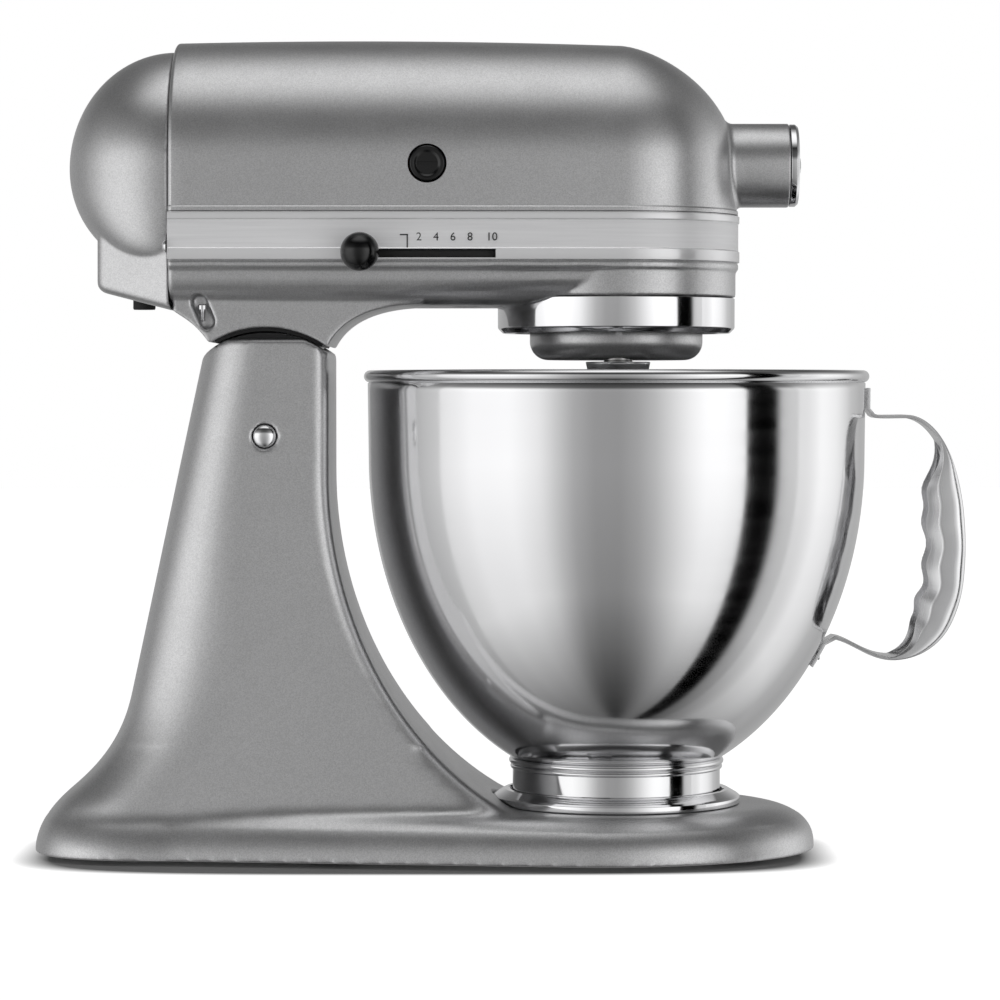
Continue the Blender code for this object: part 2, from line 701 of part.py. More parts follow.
def plate_notches(clamp):
    """Entry notches in the clamp's lip, which the foot's lugs reach after a twist of 30 degrees."""
    for number in range(4):
        angle = math.radians(90 * number + 45 + 32)
        spread = math.radians(8)
        notch = []
        for radius, turn in ((43, -1), (47.1, -1), (47.1, 1), (43, 1)):
            notch.append((radius * math.cos(angle + turn * spread), radius * math.sin(angle + turn * spread)))
        cut(clamp, prism_up(notch, PLATE_FLOOR_Z + 0.05, 30))


def grip_depth(share):
    """How far the grip's wings fold in towards the bowl, in four finger waves."""
    body = between(share, 0.2, 0.33) * (1 - between(share, 0.8, 0.92))
    return body * (16.8 + 1.2 * math.cos(2 * math.pi * 4 * (share - 0.33) / 0.5))


def handle_path():
    """Centre line of the strap's outer face in side view: a tab up the bowl's wall, the grip, a tab down."""
    upper = [(bowl_radius(z) + 2.3, z) for z in (201.4, 197, 192.5)]
    reach = bezier((111.4, 190.2), (113, 189.4), (118, 189.8), (125.5, 189.8), 3)
    over = bezier((130, 189.2), (143, 186), (150.8, 160), (150.8, 135), 7)
    under = bezier((150.8, 128), (150.8, 105), (143, 87), (123, 84.2), 7)
    home = bezier((118, 83.6), (109, 83.6), (103, 90.4), (94.6, 92.6), 4)
    lower = [(bowl_radius(z) + 2.3, z) for z in (89.5, 85, 80.6)]
    return upper + reach + over + under + home + lower


def bowl_handle():
    path = handle_path()
    lengths = [0]
    for (x0, z0), (x1, z1) in zip(path, path[1:]):
        lengths.append(lengths[-1] + math.hypot(x1 - x0, z1 - z0))
    thick = 1.5
    lip = 0.4
    channel = ((-1, 1), (-1, 0.45), (-0.8, 0.08), (0, 0), (0.8, 0.08), (1, 0.45), (1, 1))
    rings = []
    for i, (x, z) in enumerate(path):
        before = path[max(i - 1, 0)]
        after = path[min(i + 1, len(path) - 1)]
        run = math.hypot(after[0] - before[0], after[1] - before[1])
        inward = ((after[1] - before[1]) / run, -(after[0] - before[0]) / run)
        share = lengths[i] / lengths[-1]
        depth = max(grip_depth(share), lip)
        half = 11 + 3 * between(share, 0.16, 0.34) * (1 - between(share, 0.76, 0.94))
        section = []
        for skin in (0, 1):
            rows = []
            for y_share, d_share in channel:
                y = y_share * (half - skin * thick)
                d = d_share * (depth - lip) + (lip if abs(y_share) == 1 else 0.0) + skin * thick
                if d_share == 1 and skin:
                    d -= thick
                rows.append((y, d))
            section += rows if skin == 0 else rows[::-1]
        ring = []
        for y, d in section:
            hug = 0
            if i < 3 or i > len(path) - 4:
                hug = bowl_radius(z) - math.sqrt(bowl_radius(z) ** 2 - y * y)
            ring.append((x + inward[0] * d - hug, y, z + inward[1] * d))
        rings.append(ring)
    piece("bowl_handle", "bowl", loft(rings), "polished_steel")


# ---------------------------------------------------------------- gears and drive


def toothed_outline(teeth, root, tip, root_share, tip_share, phase=0.0):
    """A gear's outline: the shares are a tooth's half-width at its root and tip, in tooth pitches."""
    outline = []
    pitch = 2 * math.pi / teeth
    for number in range(teeth):
        middle = phase + pitch * number
        corners = ((root, -root_share), (tip, -tip_share), (tip, tip_share), (root, root_share))
        for radius, share in corners:
            angle = middle + share * pitch
            outline.append((radius * math.cos(angle), radius * math.sin(angle)))
    return outline


def spur_outline(teeth, module, phase):
    pitch_r = teeth * module / 2
    return toothed_outline(teeth, pitch_r - 1.15 * module, pitch_r + 0.8 * module, 0.27, 0.1, phase)


def moved(outline, x, y):
    return [(px + x, py + y) for px, py in outline]


def ring_gear():
    """The fixed internal gear: a space faces the planet gear, which is on the -Y side at rest."""
    pitch_r = RING_TEETH * PLANET_MODULE / 2
    inner = toothed_outline(
        RING_TEETH, pitch_r + 1.15 * PLANET_MODULE, pitch_r - 0.8 * PLANET_MODULE, 0.27, 0.1,
        -math.pi / 2 + math.pi / RING_TEETH,
    )
    gear = piece("ring_gear", "head", disc(42.2, 241.2, 249.2, 40), "gear_steel")
    cut(gear, prism_up(inner, 240, 251))


def planetary_group():
    carrier = [(0, 213.5), (29.5, 213.5), (33, 214.4), (36, 217.2), (37.5, 221.5), (37.5, 240), (0, 240)]
    carrier_obj = piece("planetary", "planetary", turned(carrier, 32), "grey_enamel")
    cut(carrier_obj, disc(6.8, 220, 245, 24), disc(6.8, 205, 245, 24, at=(0, -ORBIT_R, 0)))
    cut(carrier_obj, disc(1.4, -50, 0, 12, "Y", (0, 0, 230)))
    shaft = [(0, 220.5), (6.4, 220.5), (6.4, 268), (5.5, 275), (0, 275)]
    shaft_obj = piece("centre_shaft", "planetary", turned(shaft, 24), "gear_steel")
    cut(shaft_obj, disc(1.6, -10, 10, 12, "Y", (0, 0, 230)))
    piece("groove_pin", "planetary", disc(1.1, -17, 5.5, 12, "Y", (0, 0, 230)), "gear_steel")
    facing = math.atan2(WORM_OFFSET, WORM_SHAFT_X)
    outline = spur_outline(CENTRE_TEETH, DRIVE_MODULE, facing)
    gear = piece("centre_gear", "planetary", prism_up(outline, GEAR_LOW_Z, GEAR_TOP_Z), "gear_steel")
    crown_low = toothed_outline(14, 26.4, 28.6, 0.33, 0.2)
    crown = []
    for radius_share, z in ((0.72, 265.0), (1.0, 265.0), (1.0, 267.5), (0.72, 269.5)):
        crown.append([(x * radius_share, y * radius_share, z) for x, y in crown_low])
    add(gear, loft(crown, ring_shaped=True))
    cut(gear, disc(6.7, 250, 280, 24))
    piece("centre_bearing", "head", tube(13, 6.8, 249.8, 256.5, 18), "bronze")


def beater_group():
    at = (0, -ORBIT_R, 0)
    shaft = piece("agitator_shaft", "beater", disc(6.2, 188, 249, 24, at=at), "gear_steel")
    cut(shaft, disc(1.8, -10, 10, 12, "X", (0, -ORBIT_R, 196)))
    piece("beater_pin", "beater", disc(1.5, -10.5, 10.5, 12, "X", (0, -ORBIT_R, 196)), "gear_steel")
    outline = moved(spur_outline(PLANET_TEETH, PLANET_MODULE, -math.pi / 2), 0, -ORBIT_R)
    gear = piece("planet_gear", "beater", prism_up(outline, 241.2, 248.6), "gear_steel")
    cut(gear, disc(6.5, 230, 260, 24, at=at))


def beater_half_width(z):
    """Half the flat beater's width: a full round foot that follows the bowl, and shoulders above it."""
    if z < 95:
        return 46 * (1 - ((95 - z) / 47.5) ** 2.8) ** (1 / 2.8)
    return 11 + 35 * math.cos(math.pi / 2 * min((z - 95) / 82, 1)) ** 1.3


def flat_beater():
    levels = [47.8, 49.5, 53, 58, 65, 75, 85, 95, 106, 118, 130, 142, 154, 164, 171, 177]
    side = [(beater_half_width(z), z) for z in levels]
    outline = [(-x, z) for x, z in side] + [(x, z) for x, z in reversed(side)]
    y = -ORBIT_R
    beater = piece("flat_beater", "beater", prism_across(outline, y - 4, y + 4), "cast_aluminium")
    hub = [(0, 172), (10.5, 172), (12, 178), (12, 204), (14, 212.6), (0, 212.6)]
    add(beater, turned(hub, 28, at=(0, y, 0)))
    frame = 8
    for side_sign in (-1, 1):
        low = [(beater_half_width(z) - frame, z) for z in (58.5, 65, 75, 85, 95, 102)]
        window = [(4.5, 56.5)] + low + [(4.5, 110)]
        cut(beater, prism_across([(side_sign * x, z) for x, z in window], y - 9, y + 9))
        high = [(beater_half_width(z) - frame, z) for z in (112, 122, 132, 142, 150)]
        window = [(4.5, 120)] + high + [(4.5, 160)]
        cut(beater, prism_across([(side_sign * x, z) for x, z in window], y - 9, y + 9))
    cut(beater, disc(6.5, 186, 220, 24, at=(0, y, 0)))
    cut(beater, disc(1.8, -20, 20, 12, "X", (0, y, 196)))


def hub_drive():
    """The hub's bevel gear and its shaft, with the square socket that attachments plug into."""
    gear = piece("hub_gear", "hub_drive", disc(9, 26, 55, 24, "X", (0, 0, HUB_Z)), "gear_steel")
    large = toothed_outline(14, 25.6, 27.8, 0.3, 0.12)
    cone = []
    for share, x in ((0.72, 19.5), (1.0, 26.0), (1.0, 29.0)):
        cone.append([(x, share * py, HUB_Z + share * pz) for py, pz in large])
    add(gear, loft(cone))
    cut(gear, block((34, -4.8, HUB_Z - 4.8), (60, 4.8, HUB_Z + 4.8)))


def worm_group():
    at = (WORM_SHAFT_X, WORM_OFFSET, 0)
    facing = math.atan2(-WORM_OFFSET, -WORM_SHAFT_X)
    drive = moved(
        spur_outline(DRIVE_TEETH, DRIVE_MODULE, facing + math.pi / DRIVE_TEETH), WORM_SHAFT_X, WORM_OFFSET
    )
    pinion = piece("drive_pinion", "worm", prism_up(drive, GEAR_LOW_Z, GEAR_TOP_Z), "gear_steel")
    add(pinion, disc(4.2, 256.5, 306, 20, at=at))
    wheel = moved(toothed_outline(24, 12.6, 14.4, 0.27, 0.12), WORM_SHAFT_X, WORM_OFFSET)
    gear = piece("worm_gear", "worm", prism_up(wheel, 293, 303), "bronze")
    cut(gear, disc(4.5, 285, 310, 20, at=at))
    low, high = 272, 290
    bracket = piece(
        "worm_bracket",
        "head",
        block((WORM_SHAFT_X - 16, WORM_OFFSET - 9, low), (WORM_SHAFT_X + 14, 45, low + 5)),
        "cast_aluminium",
    )
    add(bracket, block((WORM_SHAFT_X - 16, 40, low + 1), (WORM_SHAFT_X + 14, 45, high)))
    cut(bracket, disc(4.5, 260, 300, 20, at=at))


def motor_group():
    axis = (0, 0, HUB_Z)
    shaft = [(0, -214), (4, -214), (4, -52)]
    for i in range(4):
        x = -50 + i * 7
        shaft += [(4.6, x), (6.1, x + 2), (6.1, x + 3.5), (4.6, x + 5.5)]
    shaft += [(4.2, -20), (0, -20)]
    piece("armature_shaft", "motor", turned(shaft, 14, "X", axis), "gear_steel")
    for name, radius, low, high, finish in (
        ("armature_core", 20, -150, -97, "core_iron"),
        ("commutator", 12, -91, -72, "copper"),
        ("cooling_fan", 15, -168, -155.5, "cast_aluminium"),
        ("governor", 13, -212, -203, "gear_steel"),
    ):
        piece(name, "motor", tube(radius, 4.4, low, high, 16, "X", axis), finish)
    piece("stator_core", "head", tube(37.5, 26.3, -148, -99, 24, "X", axis), "core_iron")
    coil = [(20.6, -153), (35, -153), (35, -148.4), (26, -148.4)]
    coil += [(26, -98.6), (35, -98.6), (35, -94), (20.6, -94)]
    piece("field_coil", "head", turned(coil, 20, "X", axis, hollow=True), "copper")
    piece("front_bearing", "head", tube(11, 4.5, -63, -55, 16, "X", axis), "bronze")
    plate = [(-34, 245.4), (34, 245.4), (46, 262), (46, 300), (33, 330), (-33, 330), (-46, 300), (-46, 262)]
    rings = [[(x, y, z) for y, z in plate] for x in (-182, -178)]
    bracket = piece("bearing_bracket", "head", loft(rings), "cast_aluminium")
    cut(bracket, disc(4.6, -190, -170, 20, "X", axis))
    board = [[(x, y, z) for y, z in ((-30, 262), (30, 262), (30, 327), (-30, 327))] for x in (-199, -197)]
    control = piece("control_plate", "head", loft(board), "board")
    cut(control, disc(6, -205, -190, 20, "X", axis))


# ---------------------------------------------------------------- levers, knobs and cap


def lever_point(reach, side):
    """A point of the speed lever, reach out from its pivot and side across it, at its rest angle."""
    out = (-math.sin(LEVER_REST), -math.cos(LEVER_REST))
    across = (math.cos(LEVER_REST), -math.sin(LEVER_REST))
    return (
        LEVER_PIVOT[0] + reach * out[0] + side * across[0],
        LEVER_PIVOT[1] + reach * out[1] + side * across[1],
    )


def speed_control():
    bar = [lever_point(reach, side) for reach, side in ((-6, -4), (-6, 4), (71, 2.2), (71, -2.2))]
    lever = piece("speed_lever", "speed_control", prism_up(bar, LEVER_Z - 1.5, LEVER_Z + 1.5), "gear_steel")
    cut(lever, disc(3.3, 240, 270, 20, at=(*LEVER_PIVOT, 0)))
    centre = lever_point(LEVER_RADIUS, 0)
    knob = []
    for i in range(7):
        angle = math.pi * (i / 6 - 0.5)
        knob.append((8.3 * math.cos(angle), LEVER_Z + 0.4 + 9.1 * math.sin(angle)))
    ball = turned([(0, knob[0][1])] + knob[1:-1] + [(0, knob[-1][1])], 16, at=(*centre, 0))
    piece("speed_knob", "speed_control", ball, "black_plastic")


def lock_lever():
    """The head's lock: a shaft into the neck, an arm along its side and a knob at the arm's end."""
    stem = disc(4, 30, 47, 16, "Y", (LOCK_X, 0, LOCK_Z))
    lever = piece("lock_lever", "lock", stem, "chrome")
    arm = arc((LOCK_X, LOCK_Z), 6, -90, 90, 8) + [(LOCK_X - 30, LOCK_Z + 4), (LOCK_X - 30, LOCK_Z - 4)]
    add(lever, prism_across(arm, 45.8, 49))
    knob = [(0, 49.4), (5, 49.4), (6.5, 51), (7, 56), (5.6, 60), (0, 61)]
    piece("lock_knob", "lock", turned(knob, 14, "Y", (LOCK_X - 24, 0, LOCK_Z)), "black_plastic")


def hub_parts():
    axis = (0, 0, HUB_Z)
    cap = [(0, 66.5), (14.6, 66.5), (14.6, 75.1), (17.6, 75.1), (18, 75.6), (18, 78), (17.2, 78.7)]
    cap += [(4, 78.7), (3.4, 80), (0, 80.3)]
    piece("hub_cap_disc", "hub_cap", turned(cap, 24, "X", axis), "chrome")
    screw = [(0, 15.4), (2.9, 15.4), (2.9, 22)]
    head = [(9, 22), (11.5, 24), (11.5, 33), (9.5, 35.5), (0, 35.5)]
    knob = turned(screw + head, 18, "Y", (CLAMP_KNOB_X, 0, HUB_Z))
    piece("attachment_knob", "clamp_knob", knob, "black_plastic")


motor_housing()
lower_housing()
end_cover()
trim_band()
head_fittings()
base_pedestal()
plate_notches(stand_fittings())
bowl()
bowl_foot()
bowl_handle()
ring_gear()
planetary_group()
beater_group()
flat_beater()
hub_drive()
worm_group()
motor_group()
speed_control()
lock_lever()
hub_parts()
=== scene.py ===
"""Looks of the tilt-head stand mixer: fine surfaces, finishes, studio and camera.

Shapes are drawn in millimetres about the bowl's axis (x = 0, y = 0) with the counter at z = 0, as
the CAD model is, and obj_from() turns them into the frame's metres.  +X is the front of the mixer.
"""

import json
import math

import bmesh
import bpy
from mathutils import Matrix, Vector


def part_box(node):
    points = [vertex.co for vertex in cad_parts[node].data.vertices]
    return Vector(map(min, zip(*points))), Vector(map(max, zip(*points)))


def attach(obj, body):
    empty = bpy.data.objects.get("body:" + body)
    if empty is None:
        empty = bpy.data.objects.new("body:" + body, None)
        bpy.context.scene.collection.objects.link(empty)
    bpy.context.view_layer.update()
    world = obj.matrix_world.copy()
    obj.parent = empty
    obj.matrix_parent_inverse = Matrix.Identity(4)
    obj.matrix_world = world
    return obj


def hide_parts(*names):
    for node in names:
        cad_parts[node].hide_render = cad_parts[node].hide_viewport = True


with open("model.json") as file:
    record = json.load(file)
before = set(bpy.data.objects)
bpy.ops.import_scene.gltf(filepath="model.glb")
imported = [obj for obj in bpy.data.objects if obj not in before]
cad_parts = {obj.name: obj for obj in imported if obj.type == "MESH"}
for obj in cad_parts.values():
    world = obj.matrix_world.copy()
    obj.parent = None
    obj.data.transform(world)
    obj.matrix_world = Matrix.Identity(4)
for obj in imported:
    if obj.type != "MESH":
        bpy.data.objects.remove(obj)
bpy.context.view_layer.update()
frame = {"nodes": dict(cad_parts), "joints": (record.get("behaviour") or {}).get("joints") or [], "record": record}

MM = 0.001


def centre(node):
    """The middle of a CAD node, in metres."""
    low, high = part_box(node)
    return [(a + b) / 2 for a, b in zip(low, high)]


AXIS_X = centre("drip_ring")[0]


def in_mm(node):
    """The lowest and highest corner of a CAD node, in millimetres about the bowl's axis."""
    corners = []
    for x, y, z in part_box(node):
        corners.append(((x - AXIS_X) / MM, y / MM, z / MM))
    return corners


def middle(node):
    low, high = in_mm(node)
    return tuple((a + b) / 2 for a, b in zip(low, high))


def span(node, axis):
    """The reach of a CAD node along one axis (0, 1 or 2 for X, Y or Z), in millimetres."""
    low, high = in_mm(node)
    return low[axis], high[axis]


def joint_at(name):
    """A hinge's point, in millimetres about the bowl's axis."""
    x, y, z = next(joint["pos_m"] for joint in frame["joints"] if joint["name"] == name)
    return (x - AXIS_X) / MM, y / MM, z / MM


HUB_Z = middle("hub_cap_disc")[2]
HEAD_REAR_X, HUB_FRONT_X = span("motor_housing", 0)
SEAM_Z, HEAD_TOP_Z = span("motor_housing", 2)
NOSE_R = 52.0
HEAD_SWELL = HEAD_TOP_Z - HUB_Z - NOSE_R
HUB_R = 18.2
HUB_BORE_R = 15.0
WALL = 3.5
UNDERSIDE_Z = 236.6
BAND_LOW_Z, BAND_TOP_Z = span("trim_band", 2)
DOME_LENGTH = 46.4
DOME_Z = 296.0
PIN_X, _, PIN_Z = middle("hinge_pin")
PIN_BORE_R = 5.3
NECK_ARC_R = 46.2
STAND_ARC_R = 44.2
NECK_HALF = 42.0
TONGUE_HALF = 16.0
TONGUE_LEAN = math.radians(20.5)
BASE_REAR_X, BASE_FRONT_X = span("base_pedestal", 0)
BASE_HALF = span("base_pedestal", 1)[1]
BASE_LOW_Z, COLUMN_TOP_Z = span("base_pedestal", 2)
BASE_TOP_Z = 21.5
COLUMN_HALF = 45.0
PLATE_R = span("bowl_clamp_plate", 1)[1]
BRUSH_X, _, BRUSH_Z = middle("brush_cap_right")
SLOT_X = -82.0
SLOT_HALF = 29.7
SLOT_LOW_Z = 256.2
SLOT_TOP_Z = 259.9


# ---------------------------------------------------------------- finishes


class Finish:
    """A node-based material, with small helpers that add its texture nodes."""

    def __init__(self, name, colour, metallic, roughness):
        self.material = bpy.data.materials.new("look_" + name)
        self.material.use_nodes = True
        self.tree = self.material.node_tree
        self.shader = self.tree.nodes["Principled BSDF"]
        self.shader.inputs["Base Color"].default_value = (*colour, 1)
        self.shader.inputs["Metallic"].default_value = metallic
        self.shader.inputs["Roughness"].default_value = roughness
        self.coords = self.tree.nodes.new("ShaderNodeTexCoord")

    def link(self, source, target):
        self.tree.links.new(source, target)

    def stretched(self, scale):
        mapping = self.tree.nodes.new("ShaderNodeMapping")
        mapping.inputs["Scale"].default_value = scale
        self.link(self.coords.outputs["Object"], mapping.inputs["Vector"])
        return mapping.outputs["Vector"]

    def noise(self, scale, detail=3.0, stretch=None):
        texture = self.tree.nodes.new("ShaderNodeTexNoise")
        texture.inputs["Scale"].default_value = scale
        texture.inputs["Detail"].default_value = detail
        source = self.stretched(stretch) if stretch else self.coords.outputs["Object"]
        self.link(source, texture.inputs["Vector"])
        return texture.outputs["Fac"]

    def cells(self, scale):
        texture = self.tree.nodes.new("ShaderNodeTexVoronoi")
        texture.inputs["Scale"].default_value = scale
        self.link(self.coords.outputs["Object"], texture.inputs["Vector"])
        return texture

    def ramp(self, source, low, high, at=(0.3, 0.7)):
        """A grey or coloured ramp between two values."""
        ramp = self.tree.nodes.new("ShaderNodeValToRGB")
        for stop, place, value in zip(ramp.color_ramp.elements, at, (low, high)):
            stop.position = place
            colour = value if isinstance(value, tuple) else (value, value, value)
            stop.color = (*colour, 1)
        self.link(source, ramp.inputs["Fac"])
        return ramp.outputs["Color"]

    def colour(self, source, low, high, at=(0.3, 0.7)):
        self.link(self.ramp(source, low, high, at), self.shader.inputs["Base Color"])

    def roughness(self, source, low, high, at=(0.3, 0.7)):
        self.link(self.ramp(source, low, high, at), self.shader.inputs["Roughness"])

    def bump(self, source, depth, strength=1.0):
        """Bumps of that depth in metres; a second call adds to the first."""
        bump = self.tree.nodes.new("ShaderNodeBump")
        bump.inputs["Distance"].default_value = depth
        bump.inputs["Strength"].default_value = strength
        self.link(source, bump.inputs["Height"])
        before = self.shader.inputs["Normal"].links
        if before:
            self.link(before[0].from_socket, bump.inputs["Normal"])
        self.link(bump.outputs["Normal"], self.shader.inputs["Normal"])


def grey_enamel():
    """Metallic paint: fine aluminium flake under a thin clear coat, with a trace of orange peel."""
    paint = Finish("grey_enamel", (0.62, 0.62, 0.625), 0.82, 0.34)
    flake = paint.cells(2600)
    paint.colour(flake.outputs["Color"], (0.54, 0.54, 0.545), (0.7, 0.7, 0.705), (0.1, 0.9))
    paint.roughness(paint.noise(60), 0.32, 0.37)
    paint.bump(flake.outputs["Distance"], 0.00001, 0.25)
    paint.bump(paint.noise(420, 2), 0.00002, 0.25)
    paint.shader.inputs["Coat Weight"].default_value = 0.12
    paint.shader.inputs["Coat Roughness"].default_value = 0.25
    return paint.material


def finish(name, colour, metallic, roughness, *layers):
    """A material with noise that varies its roughness, tints its colour or raises its surface.

    A layer is (what it changes, (scale, detail, stretch) of its noise, low, high), and for a bump
    (..., depth in metres, strength)."""
    made = Finish(name, colour, metallic, roughness)
    change = {"rough": made.roughness, "tint": made.colour, "bump": made.bump}
    for what, texture, low, high in layers:
        change[what](made.noise(*texture), low, high)
    return made.material


ALONG_BAND = (900, 2, (0.03, 0.03, 1))
ACROSS_SHAFT = (1500, 1, (1, 0.01, 0.01))
FINISHES = {
    # Drawn stainless sheet, mirror polished, with faint hoops left by the spinning tool.
    "polished_steel": (
        (0.74, 0.74, 0.75), 1.0, 0.1,
        ("rough", (9, 2, (1, 1, 14)), 0.075, 0.13),
        ("tint", (5,), (0.72, 0.72, 0.73), (0.78, 0.78, 0.785)),
        ("bump", (30, 2, (1, 1, 30)), 0.00002, 0.15),
    ),
    # Pressed stainless strip with a satin polish along its length, on the bowl's handle.
    "pressed_steel": (
        (0.74, 0.74, 0.75), 1.0, 0.2,
        ("rough", (300, 3, (1, 1, 0.06)), 0.16, 0.3),
        ("tint", (40,), (0.7, 0.7, 0.71), (0.8, 0.8, 0.805)),
        ("bump", (500, 2, (1, 1, 0.05)), 0.00002, 0.2),
    ),
    "chrome": (
        (0.8, 0.8, 0.81), 1.0, 0.06,
        ("rough", (80,), 0.045, 0.09),
        ("bump", (140, 1), 0.00001, 0.1),
    ),
    # The trim band's recessed panel: a pale anodised strip, brushed along the head.
    "satin_trim": (
        (0.92, 0.92, 0.93), 0.1, 0.38,
        ("rough", (700, 3, (0.04, 0.04, 1)), 0.32, 0.45),
        ("tint", ALONG_BAND, (0.88, 0.88, 0.89), (0.95, 0.95, 0.96)),
        ("bump", ALONG_BAND, 0.00001, 0.2),
    ),
    # The band's two raised rails, buffed almost white.
    "bright_trim": (
        (0.92, 0.92, 0.93), 0.35, 0.2,
        ("rough", (600, 3, (0.05, 0.05, 1)), 0.15, 0.26),
        ("bump", ALONG_BAND, 0.00001, 0.1),
    ),
    "black_plastic": (
        (0.004, 0.004, 0.0045), 0.0, 0.2,
        ("rough", (150,), 0.12, 0.24),
        ("bump", (500, 2), 0.00002, 0.15),
    ),
    # Matt black for the printed marks, and for the sheets of painted shade behind the slot and under the neck.
    "print_and_shade_black": ((0.015, 0.015, 0.016), 0.0, 0.5, ("rough", (900,), 0.42, 0.6)),
    "rubber": (
        (0.016, 0.016, 0.016), 0.0, 0.75,
        ("rough", (300,), 0.65, 0.85),
        ("tint", (90,), (0.012, 0.012, 0.012), (0.024, 0.024, 0.024)),
        ("bump", (1200,), 0.00005, 0.4),
    ),
    # Tumbled casting: soft pits and a slightly patchy burnish.
    "cast_aluminium": (
        (0.56, 0.57, 0.58), 1.0, 0.33,
        ("rough", (120,), 0.26, 0.42),
        ("tint", (45,), (0.5, 0.505, 0.515), (0.62, 0.625, 0.63)),
        ("bump", (650,), 0.00004, 0.35),
    ),
    "gear_steel": (
        (0.42, 0.42, 0.43), 1.0, 0.3,
        ("rough", (500, 3, (1, 1, 0.1)), 0.22, 0.4),
        ("tint", (60,), (0.36, 0.355, 0.345), (0.48, 0.48, 0.48)),
        ("bump", (900, 2, (1, 1, 0.1)), 0.00002, 0.25),
    ),
    "bronze": (
        (0.5, 0.33, 0.15), 1.0, 0.38,
        ("rough", (400,), 0.3, 0.5),
        ("tint", (70,), (0.42, 0.27, 0.12), (0.56, 0.39, 0.2)),
        ("bump", (1500,), 0.00004, 0.3),
    ),
    # Rows of enamelled wire, seen as fine ridges round the winding.
    "copper": (
        (0.62, 0.29, 0.14), 0.9, 0.32,
        ("tint", (120,), (0.5, 0.21, 0.1), (0.68, 0.34, 0.17)),
        ("bump", (900, 1, (1, 0.1, 0.1)), 0.0002, 0.6),
    ),
    # Stacked laminations: thin plates across the motor's shaft.
    "core_iron": (
        (0.2, 0.2, 0.21), 0.8, 0.5,
        ("tint", ACROSS_SHAFT, (0.12, 0.12, 0.125), (0.26, 0.26, 0.27)),
        ("bump", ACROSS_SHAFT, 0.0001, 0.5),
    ),
    "carbon": (
        (0.025, 0.025, 0.026), 0.1, 0.6,
        ("rough", (500,), 0.5, 0.7),
        ("bump", (1500,), 0.00003, 0.3),
    ),
    # The control plate: a lacquered board with a mottled green-brown mask.
    "board": (
        (0.06, 0.12, 0.07), 0.0, 0.4,
        ("tint", (120,), (0.04, 0.1, 0.05), (0.1, 0.14, 0.07)),
        ("rough", (300,), 0.3, 0.5),
    ),
}
LOOKS = {"grey_enamel": grey_enamel()}
LOOKS.update((name, finish(name, *entry)) for name, entry in FINISHES.items())


# ---------------------------------------------------------------- modelling tools


def obj_from(name, solid, body, look, replaces=(), smooth_angle=40):
    """A visual piece from a bmesh drawn in millimetres: shaded, finished and riding on its body."""
    bmesh.ops.recalc_face_normals(solid, faces=solid.faces)
    solid.transform(Matrix.Translation((AXIS_X, 0, 0)) @ Matrix.Scale(MM, 4))
    mesh = bpy.data.meshes.new(name)
    solid.to_mesh(mesh)
    solid.free()
    obj = bpy.data.objects.new(name, mesh)
    bpy.context.scene.collection.objects.link(obj)
    return dress(obj, body, look, replaces, smooth_angle)


def dress(obj, body, look, replaces=(), smooth_angle=40):
    mesh = obj.data
    mesh.materials.clear()
    mesh.materials.append(LOOKS[look])
    mesh.shade_smooth()
    mesh.set_sharp_from_angle(angle=math.radians(smooth_angle))
    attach(obj, body)
    if replaces:
        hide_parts(*replaces)
    return obj


def loft(rings, ring_shaped=False, capped=True):
    solid = bmesh.new()
    rows = [[solid.verts.new(point) for point in ring] for ring in rings]
    count = len(rows[0])
    pairs = list(zip(rows, rows[1:]))
    if ring_shaped:
        pairs.append((rows[-1], rows[0]))
    for low, high in pairs:
        for i in range(count):
            j = (i + 1) % count
            solid.faces.new((low[i], low[j], high[j], high[i]))
    if capped and not ring_shaped:
        for ring, row in ((rings[0], rows[0][::-1]), (rings[-1], rows[-1])):
            if (Vector(ring[0]) - Vector(ring[len(ring) // 2])).length > 0.001:
                solid.faces.new(row)
    bmesh.ops.remove_doubles(solid, verts=solid.verts, dist=0.0005)
    return solid


def turned(profile, segments=96, axis="Z", at=(0, 0, 0), hollow=False):
    """A turned solid from (radius, distance along the axis) pairs; a hollow one is a ring."""
    rows = []
    for radius, along in profile:
        row = []
        for i in range(segments):
            angle = 2 * math.pi * i / segments
            across = (radius * math.cos(angle), radius * math.sin(angle))
            point = {
                "Z": (across[0], across[1], along),
                "X": (along, across[0], across[1]),
                "Y": (across[1], along, across[0]),
            }[axis]
            row.append(Vector(point) + Vector(at))
        rows.append(row)
    return loft(rows, ring_shaped=hollow)


def rod(radius, low, high, segments=48, axis="Z", at=(0, 0, 0)):
    """A plain cylinder, as a piece or as the tool that drills a bore."""
    return turned([(0, low), (radius, low), (radius, high), (0, high)], segments, axis, at)


def rounded(corners, radius, steps=5, closed=False):
    """A profile through corners, each inner corner rounded; a corner may carry its own radius."""
    points = []
    count = len(corners)
    for i, corner in enumerate(corners):
        here = Vector(corner[:2])
        reach = corner[2] if len(corner) > 2 else radius
        if not closed and i in (0, count - 1) or reach == 0:
            points.append(tuple(here))
            continue
        before = Vector(corners[i - 1][:2]) - here
        after = Vector(corners[(i + 1) % count][:2]) - here
        half_turn = before.angle(after) / 2
        back = min(reach / math.tan(half_turn), 0.49 * before.length, 0.49 * after.length)
        start = here + before.normalized() * back
        end = here + after.normalized() * back
        for k in range(steps + 1):
            t = k / steps
            bent = start * (1 - t) ** 2 + here * 2 * t * (1 - t) + end * t**2
            points.append(tuple(bent))
    return points


def arc(centre_at, radius, start, end, steps):
    points = []
    for i in range(steps + 1):
        angle = math.radians(start + (end - start) * i / steps)
        point = (centre_at[0] + radius * math.cos(angle), centre_at[1] + radius * math.sin(angle))
        points.append(point)
    return points


